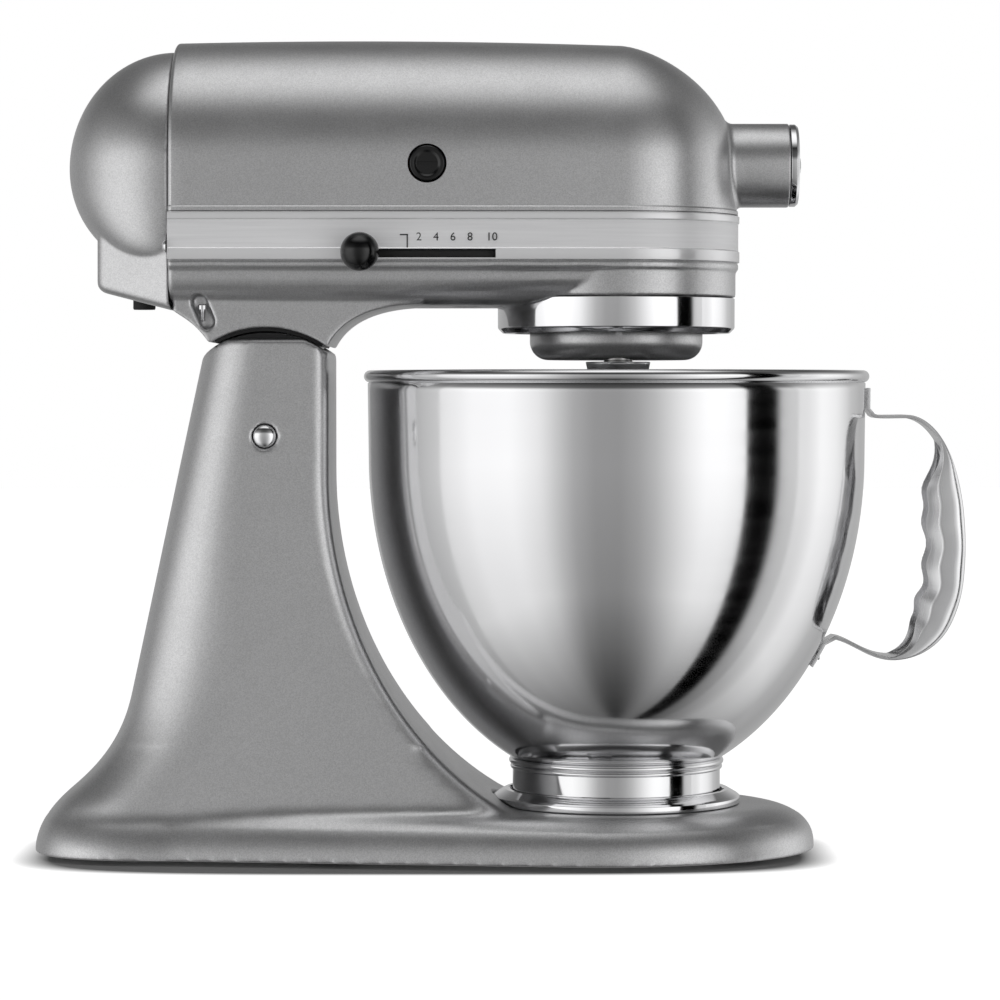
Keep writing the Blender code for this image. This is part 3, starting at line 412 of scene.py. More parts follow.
def bezier(start, pull_start, pull_end, end, steps):
    points = []
    for i in range(steps + 1):
        t = i / steps
        weights = ((1 - t) ** 3, 3 * t * (1 - t) ** 2, 3 * t * t * (1 - t), t**3)
        shares = list(zip(weights, (start, pull_start, pull_end, end)))
        points.append(tuple(sum(w * corner[k] for w, corner in shares) for k in (0, 1)))
    return points


def between(value, low, high):
    """How far value is from low to high, held to 0..1 and eased at both ends."""
    share = min(max((value - low) / (high - low), 0), 1)
    return share * share * (3 - 2 * share)


def prism_across(outline, low, high):
    return loft([[(x, low, z) for x, z in outline], [(x, high, z) for x, z in outline]])


def block(low, high):
    (x0, y0, z0), (x1, y1, z1) = low, high
    ring = [(x0, y0), (x1, y0), (x1, y1), (x0, y1)]
    return loft([[(x, y, z0) for x, y in ring], [(x, y, z1) for x, y in ring]])


def shell(outer, inner, crowned=False):
    """A wall between two grids of points, closed along its edges.

    A crowned one is swept there and back, so that its last columns meet over the centre plane and
    need no wall between them."""
    solid = bmesh.new()
    grids = []
    for grid in (outer, inner):
        grids.append([[solid.verts.new(point) for point in row] for row in grid])
    rows = len(outer)
    columns = len(outer[0])
    for grid in grids:
        for i in range(rows - 1):
            for j in range(columns - 1):
                corners = (grid[i][j], grid[i + 1][j], grid[i + 1][j + 1], grid[i][j + 1])
                solid.faces.new(corners)
    far = [(i, columns - 1) for i in range(rows - 1, -1, -1)]
    edge = [(0, j) for j in range(columns - 1, 0, -1)] + [(i, 0) for i in range(rows)]
    edge += [(rows - 1, j) for j in range(1, columns)]
    if not crowned:
        edge += far[1:]
    for (i, j), (k, m) in zip(edge, edge[1:]):
        solid.faces.new((grids[0][i][j], grids[0][k][m], grids[1][k][m], grids[1][i][j]))
    bmesh.ops.remove_doubles(solid, verts=solid.verts, dist=0.001)
    return solid


def temporary(solid):
    """A bare object from a bmesh in millimetres, to be cut or remeshed."""
    bmesh.ops.recalc_face_normals(solid, faces=solid.faces)
    mesh = bpy.data.meshes.new("temporary")
    solid.to_mesh(mesh)
    solid.free()
    obj = bpy.data.objects.new("temporary", mesh)
    bpy.context.scene.collection.objects.link(obj)
    return obj


def settled(obj):
    """The object's mesh with its modifiers applied, as a bmesh; the object is removed."""
    bpy.context.view_layer.update()
    evaluated = obj.evaluated_get(bpy.context.evaluated_depsgraph_get())
    mesh = bpy.data.meshes.new_from_object(evaluated)
    solid = bmesh.new()
    solid.from_mesh(mesh)
    bpy.data.meshes.remove(mesh)
    bpy.data.objects.remove(obj)
    return solid


def combined(base, steps):
    """base with solids added or cut: steps holds ("UNION" or "DIFFERENCE", bmesh) pairs."""
    for operation, tool_solid in steps:
        target = temporary(base)
        tool = temporary(tool_solid)
        change = target.modifiers.new("change", "BOOLEAN")
        change.operation = operation
        change.solver = "EXACT"
        change.object = tool
        base = settled(target)
        bpy.data.objects.remove(tool)
    return base


def cut(base, *tools):
    return combined(base, [("DIFFERENCE", tool) for tool in tools])


def cast(solid, voxel, passes):
    """A solid remeshed and eased all over, so that its edges and corners are those of a casting."""
    obj = temporary(solid)
    remesh = obj.modifiers.new("remesh", "REMESH")
    remesh.mode = "VOXEL"
    remesh.voxel_size = voxel
    remesh.adaptivity = 0.0
    ease = obj.modifiers.new("ease", "SMOOTH")
    ease.factor = 0.5
    ease.iterations = passes
    return settled(obj)


def softened(solid, width, segments=3, angle=30):
    """A solid with its sharp edges rounded off."""
    obj = temporary(solid)
    bevel = obj.modifiers.new("bevel", "BEVEL")
    bevel.width = width
    bevel.segments = segments
    bevel.limit_method = "ANGLE"
    bevel.angle_limit = math.radians(angle)
    bevel.harden_normals = False
    return settled(obj)


def copy_of(node):
    """A CAD node's mesh as a bmesh in millimetres about the bowl's axis."""
    solid = bmesh.new()
    solid.from_mesh(frame["nodes"][node].data)
    solid.transform(Matrix.Scale(1 / MM, 4) @ Matrix.Translation((-AXIS_X, 0, 0)))
    bmesh.ops.remove_doubles(solid, verts=solid.verts, dist=0.0005)
    return solid


# ---------------------------------------------------------------- head


def head_half_width(x):
    """The head is a little fatter halfway along than at its round nose."""
    return NOSE_R + HEAD_SWELL * (1 - min(((x + 110) / 110) ** 2, 1))


def head_grid(profile, stations, turns=64):
    """Sweeps a profile along the left side, round the nose and back along the right side.

    stations holds (x, inset) pairs from the rear to the front, the inset being how far the rear lip
    is drawn in; profile(half_width, nose_share) gives (distance from the centre plane, z)."""
    grid = []
    for x, inset in stations:
        grid.append([(x, -r, z) for r, z in profile(head_half_width(x) - inset, 0)])
    for i in range(turns + 1):
        angle = math.pi * (i / turns - 0.5)
        row = profile(NOSE_R, math.cos(angle) ** 2)
        grid.append([(r * math.cos(angle), r * math.sin(angle), z) for r, z in row])
    for x, inset in reversed(stations):
        grid.append([(x, r, z) for r, z in profile(head_half_width(x) - inset, 0)])
    return grid


def head_stations(lip=0.0, rear=HEAD_REAR_X, count=30):
    """Stations from the rear lip forward; the lip is rounded over by its radius."""
    rows = []
    for i in range(6 if lip else 0):
        angle = math.pi / 2 * i / 6
        rows.append((rear + lip * (1 - math.cos(angle)) * 0.7, lip * (1 - math.sin(angle))))
    start = rear + lip * 0.7
    for i in range(count):
        rows.append((start * (1 - i / count), 0.0))
    return rows


def lip(reach, low, high, out=0.9):
    """A bead that runs round the casting beside the trim band."""
    side = [(reach, low), (reach + out, low + 0.3), (reach + out, high - 0.5)]
    return side + [(reach + out - 0.4, high), (reach, high + 0.2)]


def arch_profile(thin, low_z, steps=28):
    def profile(half_width, nose_share):
        reach = half_width - thin
        fullness = 2 - 0.4 * nose_share
        points = [(reach, low_z), (reach, BAND_TOP_Z + 0.1)]
        if not thin:
            points += lip(reach, BAND_TOP_Z + 0.3, BAND_TOP_Z + 2.6)
        points += [(reach, BAND_TOP_Z + 4 + (HUB_Z - BAND_TOP_Z - 4) * i / 5) for i in range(5)]
        for i in range(steps + 1):
            share = math.cos(math.pi / 2 * i / steps)
            height = math.sqrt(max(1 - share**fullness, 0))
            points.append((reach * share, HUB_Z + reach * height))
        return points

    return profile


def even_profile(profile, more):
    """A profile with extra points in its first stretch, to match one that has a lip."""

    def padded(half_width, nose_share):
        points = profile(half_width, nose_share)
        (r, low), (_, high) = points[0], points[1]
        extra = [(r, low + (high - low) * i / (more + 1)) for i in range(1, more + 1)]
        return points[:1] + extra + points[1:]

    return padded


def upper_casting():
    """The motor housing: an arch with a rounded rear lip, and the bores for the brush caps."""
    outer = head_grid(arch_profile(0, SEAM_Z + 0.1), head_stations(2.6))
    inner = head_grid(even_profile(arch_profile(WALL, SEAM_Z + 0.1), 5), head_stations(2.6))
    brush = (BRUSH_X, 0, BRUSH_Z)
    bores = [rod(8.25, side * 40, side * 70, 64, "Y", brush) for side in (-1, 1)]
    bores.append(rod(12, 20, 70, 64, "X", (0, 0, HUB_Z)))
    casting = cut(shell(outer, inner, crowned=True), *bores)
    obj_from("upper_casting", casting, "head", "grey_enamel", ["motor_housing"], 28)


def nose_at(y, height):
    """How far forward the nose is at a distance from the centre plane and the hub's axis."""
    rise = max(height, 0) / NOSE_R
    low, high = 0.0, 1.0
    for _ in range(40):
        reach = (low + high) / 2
        across = y / NOSE_R
        cos_square = max(1 - (across / reach) ** 2, 0) if reach > abs(across) else 0
        fullness = 2 - 0.4 * cos_square
        if reach**fullness + rise**2 < 1 and reach < 1:
            low = reach
        else:
            high = reach
    return NOSE_R * math.sqrt(max(low**2 - (y / NOSE_R) ** 2, 0))


def hub_barrel():
    """The attachment hub: a barrel that grows out of the nose with a small fillet."""
    rings = []
    count = 96
    fillet = 2.6
    for step in range(-1, 7):
        ring = []
        for i in range(count):
            angle = 2 * math.pi * i / count
            turn = math.pi / 2 * max(step, 0) / 6
            radius = HUB_R + fillet * (1 - math.sin(turn))
            y = radius * math.cos(angle)
            height = radius * math.sin(angle)
            nose = nose_at(y, height)
            x = nose - 0.15 + fillet * (1 - math.cos(turn))
            if step < 0:
                x = nose - 4
            ring.append((x, y, HUB_Z + height))
        rings.append(ring)
    mouth = [(HUB_R, 56), (HUB_R, HUB_FRONT_X, 0.9), (HUB_BORE_R, HUB_FRONT_X, 0.5)]
    ends = rounded(mouth + [(HUB_BORE_R, 50)], 1) + [(12, 50), (12, 44)]
    for radius, x in ends:
        ring = []
        for i in range(count):
            angle = 2 * math.pi * i / count
            ring.append((x, radius * math.cos(angle), HUB_Z + radius * math.sin(angle)))
        rings.append(ring)
    obj_from("hub_barrel", loft(rings, ring_shaped=True), "head", "grey_enamel", [], 50)


def brush_caps():
    """Glossy caps over the motor's brushes, each with a screwdriver slot and a fine rim."""
    for side, hand in ((-1, "left"), (1, "right")):
        face = abs(span(f"brush_cap_{hand}", 1)[side > 0])
        profile = [(0, face - 0.9), (4.6, face - 0.9), (5.6, face - 0.2), (7.0, face, 0.6)]
        profile += [(7.75, face - 1.0), (7.75, face - 9.8), (0, face - 9.8)]
        outline = [(r, side * y) for r, y in rounded(profile, 0.4, 4)]
        cap = turned(outline, 64, "Y", (BRUSH_X, 0, BRUSH_Z))
        ends = sorted((side * (face - 2.2), side * (face + 2)))
        low = (BRUSH_X - 4.4, ends[0], BRUSH_Z - 0.7)
        cap = cut(cap, block(low, (BRUSH_X + 4.4, ends[1], BRUSH_Z + 0.7)))
        obj_from(f"cap_{hand}", cap, "head", "black_plastic", [f"brush_cap_{hand}"], 35)


def hub_cap():
    """The polished disc that closes the hub, with its grip bead and centre button."""
    rear, front = span("hub_cap_disc", 0)
    face = front - 1.6
    profile = [(0, rear), (14.5, rear), (14.5, HUB_FRONT_X + 0.3), (17.9, HUB_FRONT_X + 0.3)]
    profile += [(17.9, face - 1.2), (16.9, face), (12.5, face), (11.6, face - 0.7)]
    profile += [(5.2, face - 0.7), (4.0, face), (3.4, front - 0.3), (1.6, front, 1), (0, front)]
    disc = turned(rounded(profile, 0.35, 4), 96, "X", (0, 0, HUB_Z))
    obj_from("hub_cap", disc, "hub_cap", "chrome", ["hub_cap_disc"], 45)


def attachment_knob():
    """The hub's clamp knob: a black grip with ribs round it, on a steel screw."""
    x, _, z = middle("attachment_knob")
    low, high = span("attachment_knob", 1)
    shank = rod(2.8, low, low + 7.5, 32, "Y", (x, 0, z))
    obj_from("knob_screw", shank, "clamp_knob", "gear_steel", [])
    rings = []
    levels = [(0, 22), (9.5, 22), (11.3, 24.5), (11.3, 32.5), (9.0, high), (0, high)]
    for radius, y in rounded(levels, 1.2, 4):
        ring = []
        for i in range(144):
            angle = 2 * math.pi * i / 144
            rib = 1 - 0.045 * (0.5 - 0.5 * math.cos(18 * angle)) * (radius > 8)
            ring.append((x + radius * rib * math.sin(angle), y, z + radius * rib * math.cos(angle)))
        rings.append(ring)
    obj_from("clamp_grip", loft(rings), "clamp_knob", "black_plastic", ["attachment_knob"], 40)


BAND_FACE = 1.5  # how far the trim band's rails stand out from the casting


def band_section(half_width, _nose_share):
    """The band in section: a recessed panel between two polished rails."""
    rail = half_width + BAND_FACE
    panel = rail - 0.5
    low, high = BAND_LOW_Z, BAND_TOP_Z
    corners = [(half_width + 0.3, low, 0), (rail, low, 0.3), (rail, low + 4.5, 0.25)]
    corners += [(panel, low + 5.0, 0.2), (panel, high - 3.3, 0.2), (rail, high - 2.8, 0.25)]
    corners += [(rail, high, 0.3), (half_width + 0.3, high, 0)]
    return rounded(corners, 0.2, 2)


def trim_band():
    outer = head_grid(band_section, head_stations(count=40), 80)
    inner = []
    for row in outer:
        (x, y, _), (x1, y1, _) = row[0], row[-1]
        count = len(row) - 1
        flat = []
        for i, (_, _, z) in enumerate(row):
            flat.append((x + (x1 - x) * i / count, y + (y1 - y) * i / count, z))
        inner.append(flat)
    low = (SLOT_X - SLOT_HALF, -60, SLOT_LOW_Z)
    high = (SLOT_X + SLOT_HALF, -44, SLOT_TOP_Z)
    band = cut(shell(outer, inner), block(low, high))
    obj = obj_from("trim_band_strip", band, "head", "bright_trim", ["trim_band"], 30)
    obj.data.materials.append(LOOKS["satin_trim"])
    for face in obj.data.polygons:
        height = face.center.z / MM
        if BAND_LOW_Z + 4.9 < height < BAND_TOP_Z - 3.2:
            face.material_index = 1


def dial_marks():
    """Speed numbers and the stir bracket, printed on the panel above the lever's slot."""
    face = -(head_half_width(SLOT_X) + BAND_FACE - 0.5)
    height = 3.4
    for number, x in ((2, -84.6), (4, -77.4), (6, -70.3), (8, -63.1), (10, -53.9)):
        curve = bpy.data.curves.new(f"digit_{number}", "FONT")
        curve.body = str(number)
        curve.align_x = "CENTER"
        curve.size = height * MM / 0.7
        curve.extrude = 0.04 * MM
        curve.resolution_u = 6
        text = bpy.data.objects.new("text", curve)
        bpy.context.scene.collection.objects.link(text)
        mesh = bpy.data.meshes.new_from_object(text)
        bpy.data.objects.remove(text)
        mesh.transform(Matrix.Rotation(math.pi / 2, 4, "X"))
        mesh.transform(Matrix.Translation((AXIS_X + x * MM, face * MM, 263.4 * MM)))
        obj = bpy.data.objects.new(f"digit_{number}", mesh)
        bpy.context.scene.collection.objects.link(obj)
        dress(obj, "head", "print_and_shade_black")
    y = (face - 0.3, face + 0.3)
    across = block((-92.6, y[0], 265.6), (-89.2, y[1], 266.1))
    down = block((-89.75, y[0] + 0.01, 260.4), (-89.25, y[1] + 0.01, 265.9))
    bracket = combined(across, [("UNION", down)])
    obj_from("stir_mark", bracket, "head", "print_and_shade_black", [], 30)


def slot_liner():
    """A black sheet behind the speed lever's slot: painted shade that makes the trough read dark."""
    low = (SLOT_X - SLOT_HALF + 0.3, -50.2, SLOT_LOW_Z + 0.2)
    high = (SLOT_X + SLOT_HALF - 0.3, -49.6, SLOT_TOP_Z - 0.2)
    shade_sheet = softened(block(low, high), 0.2)
    obj_from("slot_liner", shade_sheet, "head", "print_and_shade_black", [], 30)


def tray_profile(thin, floor_z):
    """Down the wall from the seam, over the lower lip and round to the flat underside."""

    def profile(half_width, _nose_share):
        wall = half_width - thin
        corner = 13 - thin / 2
        across = corner + 8
        out = 0 if thin else 1.0
        points = [(wall, SEAM_Z - 0.3), (wall, BAND_LOW_Z - 0.3), (wall + out, BAND_LOW_Z - 0.6)]
        points += [(wall + out, BAND_LOW_Z - 3.0), (wall + out - 0.5, BAND_LOW_Z - 3.5)]
        points += [(wall - 1.0, BAND_LOW_Z - 3.6), (wall - 1.8, BAND_LOW_Z - 4.6)]
        for i in range(9):
            angle = math.pi / 2 * i / 8
            reach = wall - 2 - across * (1 - math.cos(angle))
            points.append((reach, floor_z + corner * (1 - math.sin(angle))))
        points += [((wall - 2 - across) * (1 - i / 6), floor_z) for i in range(1, 7)]
        return points

    return profile


def neck_outline():
    """The neck in side view: the arc that rides over the stand, and fillets up to the underside."""
    seat = arc((PIN_X, PIN_Z), NECK_ARC_R, 121, 55, 40)
    front = bezier(seat[-1], (-118, 231), (-104, UNDERSIDE_Z), (-84, UNDERSIDE_Z + 0.4), 24)
    rear = bezier((HEAD_REAR_X + 1, 234.5), (-185, 231), (-180, 229.5), seat[0], 10)
    return seat + front[1:] + [(-84, 246), (HEAD_REAR_X + 3, 246)] + rear[:-1]


def tongue_outline():
    """The hinge tongue: a round eye on the pin and a bar that leans forward up to the neck."""
    lean = math.degrees(TONGUE_LEAN)
    eye = arc((PIN_X, PIN_Z), 13, 90 - lean + 38, 450 - lean - 38, 36)
    ahead = (math.sin(TONGUE_LEAN), math.cos(TONGUE_LEAN))
    top = (PIN_X + 52 * ahead[0], PIN_Z + 52 * ahead[1])
    across = (8 * ahead[1], -8 * ahead[0])
    bar = [(top[0] + across[0], top[1] + across[1]), (top[0] - across[0], top[1] - across[1])]
    return eye + bar


def screw_pocket(side):
    """A slanted oval pocket in the side of the neck."""
    low = arc((-174.6, 229.5), 3.3, 200, 380, 16)
    high = arc((-178.2, 238.0), 3.3, 20, 200, 16)
    ends = sorted((side * 35.5, side * 60))
    return prism_across(low + high, *ends)


def lower_casting():
    """The gearbox half of the head, with the boss round the drip ring, the neck and the tongue."""
    outer = head_grid(tray_profile(0, UNDERSIDE_Z), head_stations(1.6, count=36))
    inner = head_grid(tray_profile(WALL, UNDERSIDE_Z + 6), head_stations(1.6, count=36))
    tray = shell(outer, inner, crowned=True)
    boss = [(13.3, 249.5), (42.5, 249.5), (42.5, 240.5), (51.8, 240.5), (51.8, 254.5)]
    boss.append((13.3, 254.5))
    tray = cut(tray, rod(52.2, 225, 240.45, 136), rod(44, 230, 249.6, 136))
    neck = prism_across(neck_outline(), -NECK_HALF, NECK_HALF)
    tongue = prism_across(tongue_outline(), -TONGUE_HALF, TONGUE_HALF)
    added = (turned(boss, 136, hollow=True), neck, tongue)
    lock_x, _, lock_z = joint_at("lock_lever_turn")
    rough = cut(
        combined(tray, [("UNION", solid) for solid in added]),
        rod(PIN_BORE_R, -50, 50, 48, "Y", (PIN_X, 0, PIN_Z)),
        screw_pocket(-1),
        screw_pocket(1),
        rod(5.5, 225, 238.8, 48, at=(-65, 0, 0)),
        rod(4.3, 28, 60, 48, "Y", (lock_x, 0, lock_z)),
    )
    smooth = cast(rough, 0.8, 6)
    low = (SLOT_X - SLOT_HALF, -60, SLOT_LOW_Z - 0.3)
    high = (SLOT_X + SLOT_HALF, -44, SLOT_TOP_Z + 0.3)
    smooth = cut(smooth, block(low, high))
    obj_from("lower_casting", smooth, "head", "grey_enamel", ["lower_housing"], 50)


def end_cover_dome(thin, front_x, steps=36, turns=128):
    """The dome behind the seam: round above its centre, boxy below it where it meets the skirt."""
    rings = []
    for i in range(steps):
        angle = math.pi / 2 * i / steps
        scale = math.cos(angle)
        ring = []
        for k in range(turns):
            turn = 2 * math.pi * k / turns
            rise, power = (51, 2) if math.sin(turn) > 0 else (45, 2 + 3 * scale**2)
            across = math.copysign(abs(math.cos(turn)) ** (2 / power), math.cos(turn))
            height = math.copysign(abs(math.sin(turn)) ** (2 / power), math.sin(turn))
            x = front_x - (DOME_LENGTH - thin) * math.sin(angle)
            ring.append((x, (50 - thin) * scale * across, DOME_Z + (rise - thin) * scale * height))
        rings.append(ring)
    rings.append([(front_x - (DOME_LENGTH - thin), 0, DOME_Z)] * turns)
    return loft(rings)


def skirt_ring(thin, draw, rise, flat_z=None):
    """One level of the skirt: a wedge in plan, level with its sloping bottom or flat at flat_z."""
    front = HEAD_REAR_X - 0.3 + (0.5 if thin else 0)
    corner = rounded([(front, 46), (-222.6, 30, 7), (-224, 0)], 7, 10)
    ring = [(x + (thin + draw) * (x < front), y - thin - draw) for x, y in corner[:-1]]
    ring += [(x, -y) for x, y in reversed(ring)]
    return [(x, y, flat_z or 234.5 + (HEAD_REAR_X - x) * 0.258 + thin + rise) for x, y in ring]


def end_cover_skirt(thin):
    levels = []
    for i in range(8):
        angle = math.pi / 2 * i / 7
        levels.append(skirt_ring(thin, 3.5 * (1 - math.sin(angle)), 3.5 * (1 - math.cos(angle))))
    return loft(levels + [skirt_ring(thin, 0, 0, 274)])


def end_cover():
    """The cover over the motor's back end: a dome with a squared skirt below it."""
    front = HEAD_REAR_X - 0.3
    inlet_x, inlet_y, _ = middle("cord_inlet")
    whole = combined(end_cover_dome(0, front), [("UNION", end_cover_skirt(0))])
    hole = rod(5.2, 225, 250, at=(inlet_x, inlet_y, 0))
    rough = cut(whole, end_cover_dome(WALL, front + 0.5), end_cover_skirt(WALL), hole)
    obj_from("rear_cover", cast(rough, 0.8, 5), "head", "grey_enamel", ["end_cover"], 60)


def screws():
    """Slotted screws: two hold the trim band's ends, two the castings, one the gearbox floor."""
    for side, hand in ((-1, "left"), (1, "right")):
        _, y, z = middle(f"trim_screw_{hand}")
        rear, front = span(f"trim_screw_{hand}", 0)
        head = [(0, rear), (1.2, rear + 0.15), (2.3, rear + 0.7), (2.9, front), (0, front)]
        slot = block((rear - 1, y - 0.35, z - 4), (rear + 0.7, y + 0.35, z + 4))
        head = cut(turned(head, 48, "X", (0, y, z)), slot)
        obj_from(f"band_screw_{hand}", head, "head", "chrome", [f"trim_screw_{hand}"], 40)
        node = f"neck_screw_{hand}"
        low, high = span(node, 2)
        x, y, _ = middle(node)
        stem = [(0, low), (1.0, low + 0.2), (1.35, low + 0.6)]
        for i in range(8):
            stem += [(1.35, low + 0.8 + 0.5 * i), (1.15, low + 1.05 + 0.5 * i)]
        stem += [(1.4, high - 2.6), (2.1, high - 2.2), (2.1, high - 0.5), (1.6, high), (0, high)]
        stem = turned(stem, 40, at=(x, y, 0))
        obj_from(f"housing_screw_{hand}", stem, "head", "chrome", [node], 40)
    head = [(0, 237.4), (3.2, 237.6), (4.3, 238.3), (4.3, 239.2), (0, 239.2)]
    across = block((-67.4, -0.5, 236), (-62.6, 0.5, 238.3))
    along = block((-65.5, -2.4, 236), (-64.5, 2.4, 238.3))
    head = cut(turned(head, 48, at=(-65, 0, 0)), across, along)
    obj_from("gearbox_screw", head, "head", "chrome", [], 40)


# ---------------------------------------------------------------- stand


def column_rear(z):
    """The back of the column: straight with a slight lean, then swept out to the base's rim."""
    if z > 70:
        return -179.2 - (213.6 - z) * 0.2124
    if z > 28:
        sweep = bezier((-209.7, 70), (-213.5, 52), (-222, 40), (-236.5, 28), 60)
    else:
        sweep = bezier((-236.5, 28), (-245, 21), (-250.4, 13), (BASE_REAR_X, 4), 60)
    for (x0, z0), (x1, z1) in zip(sweep, sweep[1:]):
        if z1 <= z <= z0:
            return x0 + (x1 - x0) * (z0 - z) / (z0 - z1)
    return BASE_REAR_X


def column_front(z):
    """The bay round the bowl: upright above, then an ellipse under the bowl."""
    if z >= 165:
        return -123.2
    return 10 - 133.2 * math.sqrt(max(1 - ((165 - z) / 158) ** 2, 0))


def flare(z, spread):
    """How much a side of the column has spread at a height, on its way down to the base."""
    return spread * (max(128 - z, 0) / 107) ** 2


def stand_outline(front_x, corner, middle_x, rear_x, front_half, middle_half, round_front):
    """One level of the stand, from the front round the -Y side to the back and home again.

    round_front is the depth of the front lobe, or 0 for the column's flat front face."""
    half = []
    steps = 40
    bend = 10
    for i in range(steps):
        if round_front:
            angle = math.pi / 2 * i / steps
            x = front_x - round_front * (1 - math.cos(angle))
            half.append((x, front_half * math.sin(angle)))
            continue
        share = min(i / (steps - bend), 1)
        angle = math.pi / 2 * max(i - steps + bend, 0) / bend
        depth = corner * (1 - math.cos(angle))
        half.append((front_x - depth, (front_half - corner) * share + corner * math.sin(angle)))
    side_x = front_x - (round_front or corner)
    for i in range(24):
        share = i / 24
        y = front_half + (middle_half - front_half) * share
        half.append((side_x + (middle_x - side_x) * share, y))
    for i in range(41):
        angle = math.pi / 2 * i / 40
        across = middle_half * math.cos(angle) ** 0.7 if i < 40 else 0
        half.append((middle_x + (rear_x - middle_x) * math.sin(angle) ** 0.7, across))
    return [(x, -y) for x, y in half] + [(x, y) for x, y in reversed(half[1:-1])]


def base_edge(z):
    """How far the base's rim is drawn in at a height, as it rounds over to the top."""
    share = min(max((z - 4.5) / (BASE_TOP_Z - 4.5), 0), 1)
    return 24 * (1 - (1 - share**2.2) ** (1 / 2.2))


def base_ring(z, inset=0.0):
    edge = base_edge(z)
    rear = column_rear(z)
    half = BASE_HALF - 0.67 * edge - inset
    lobe = 95.7 - edge - inset
    middle_half = 54 - (rear - BASE_REAR_X) - inset
    front = BASE_FRONT_X - edge - inset
    outline = stand_outline(front, 3, -190, rear + inset, half, middle_half, lobe)
    return [(x, y, z) for x, y in outline]


def column_ring(z, inset=0.0, front_inset=0.0):
    front = column_front(z) - front_inset
    rear = column_rear(z) + inset
    middle_x = rear + (front - rear) * (0.242 + 0.3 * between(z, 21.5, 110))
    half = COLUMN_HALF - 2 * between(z, 140, 222) - inset
    front_half, middle_half = half + flare(z, 11.5), half + flare(z, 2.2)
    outline = stand_outline(front, 6.5, middle_x, rear, front_half, middle_half, 0)
    return [(x, y, z) for x, y in outline]


def eased_between(solid, low, high, passes):
    """More easing for the points whose height lies between two levels."""
    chosen = [v for v in solid.verts if low < v.co.z < high]
    for _ in range(passes):
        bmesh.ops.smooth_vert(
            solid, verts=chosen, factor=0.5, use_axis_x=True, use_axis_y=True, use_axis_z=True
        )
    return solid


def stand():
    """Base and column as one casting, hollow underneath, with the seats for the head and bowl."""
    rings = [base_ring(z) for z in (BASE_LOW_Z, 3, 4.5)]
    rises = [math.sin(math.pi / 2 * i / 16) for i in range(1, 17)]
    rings += [base_ring(4.5 + (BASE_TOP_Z - 4.5) * rise) for rise in rises]
    rings += [column_ring(BASE_TOP_Z + 74.5 * (i / 28) ** 1.5) for i in range(29)]
    rings += [column_ring(96 + (COLUMN_TOP_Z - 96) * i / 20) for i in range(1, 21)]
    hollow = [base_ring(z, 6) for z in (0, 10, 16)]
    hollow += [column_ring(z, 7, inset) for z, inset in ((16, 32), (32, 14), (60, 8), (125, 7))]
    steps = [("DIFFERENCE", loft(hollow))]
    for number in range(1, 6):
        x, y, _ = middle(f"foot_{number}")
        boss_top = 18 if x > 0 else 30
        steps.append(("UNION", rod(10.5, 9.8, boss_top, 32, at=(x, y, 0))))
    crown = arc((PIN_X, PIN_Z), STAND_ARC_R, 0, 180, 60)
    seat = crown + [(-215, PIN_Z), (-215, 240), (-90, 240), (-90, PIN_Z)]
    slot = block((PIN_X - 26, -TONGUE_HALF - 2, 150), (PIN_X + 23.7, TONGUE_HALF + 2, 240))
    bore = rod(PIN_BORE_R, -60, 60, 48, "Y", (PIN_X, 0, PIN_Z))
    rough = cut(combined(loft(rings), steps), prism_across(seat, -60, 60), slot, bore)
    smooth = eased_between(cast(rough, 1.25, 4), 16.5, 50, 30)
    smooth = cut(smooth, rod(PLATE_R + 0.8, BASE_TOP_Z + 0.05, 60, 128))
    obj_from("stand_casting", smooth, "stand", "grey_enamel", ["base_pedestal"], 50)


def seat_liners():
    """Black strips on both sides of the gap under the neck: painted shade standing for the dark of the hinge's
    gap.
    """
    spot = (PIN_X, PIN_Z)
    under_neck = arc(spot, STAND_ARC_R + 0.5, 118, 58, 40)
    under_neck += arc(spot, NECK_ARC_R + 0.4, 58, 118, 40)
    strip = prism_across(under_neck, -34, 34)
    obj_from("painted_neck_shade", strip, "head", "print_and_shade_black", [], 40)
    crown = arc(spot, STAND_ARC_R - 0.3, 60, 120, 40)
    for side, low, high in (("near", -34, -18.5), ("far", 18.5, 34)):
        strip = prism_across(crown, low, high)
        obj_from(f"painted_seat_shade_{side}", strip, "stand", "print_and_shade_black", [], 40)


def hinge_pin():
    """The tilt pin, with domed and chamfered heads on both sides of the column."""
    reach = span("hinge_pin", 1)[1]
    half = [(0, reach), (1.6, reach - 0.12), (3.1, reach - 0.5), (4.2, reach - 1.15)]
    half += [(4.8, reach - 1.9), (4.9, reach - 2.6), (4.9, reach - 8)]
    pin = turned(half + [(r, -y) for r, y in reversed(half)], 64, "Y", (PIN_X, 0, PIN_Z))
    obj_from("tilt_pin", pin, "stand", "chrome", ["hinge_pin"], 50)


def feet():
    """Rubber pads with a rounded edge and a ring groove underneath."""
    for number in range(1, 6):
        node = f"foot_{number}"
        x, y, _ = middle(node)
        top = span(node, 2)[1]
        profile = [(0, 0.5), (3.4, 0.5), (3.9, 0), (5.9, 0), (6.2, 0.5), (6.8, 0.5), (7.1, 0)]
        profile += [(8.4, 0), (9.35, 1.0), (9.35, 3.2), (8.9, 3.6), (8.9, 4.2), (9.35, 4.6)]
        profile += [(9.35, top), (0, top)]
        pad = turned(rounded(profile, 0.3, 3), 64, at=(x, y, 0))
        obj_from(f"foot_pad_{number}", pad, "stand", "rubber", [node], 40)


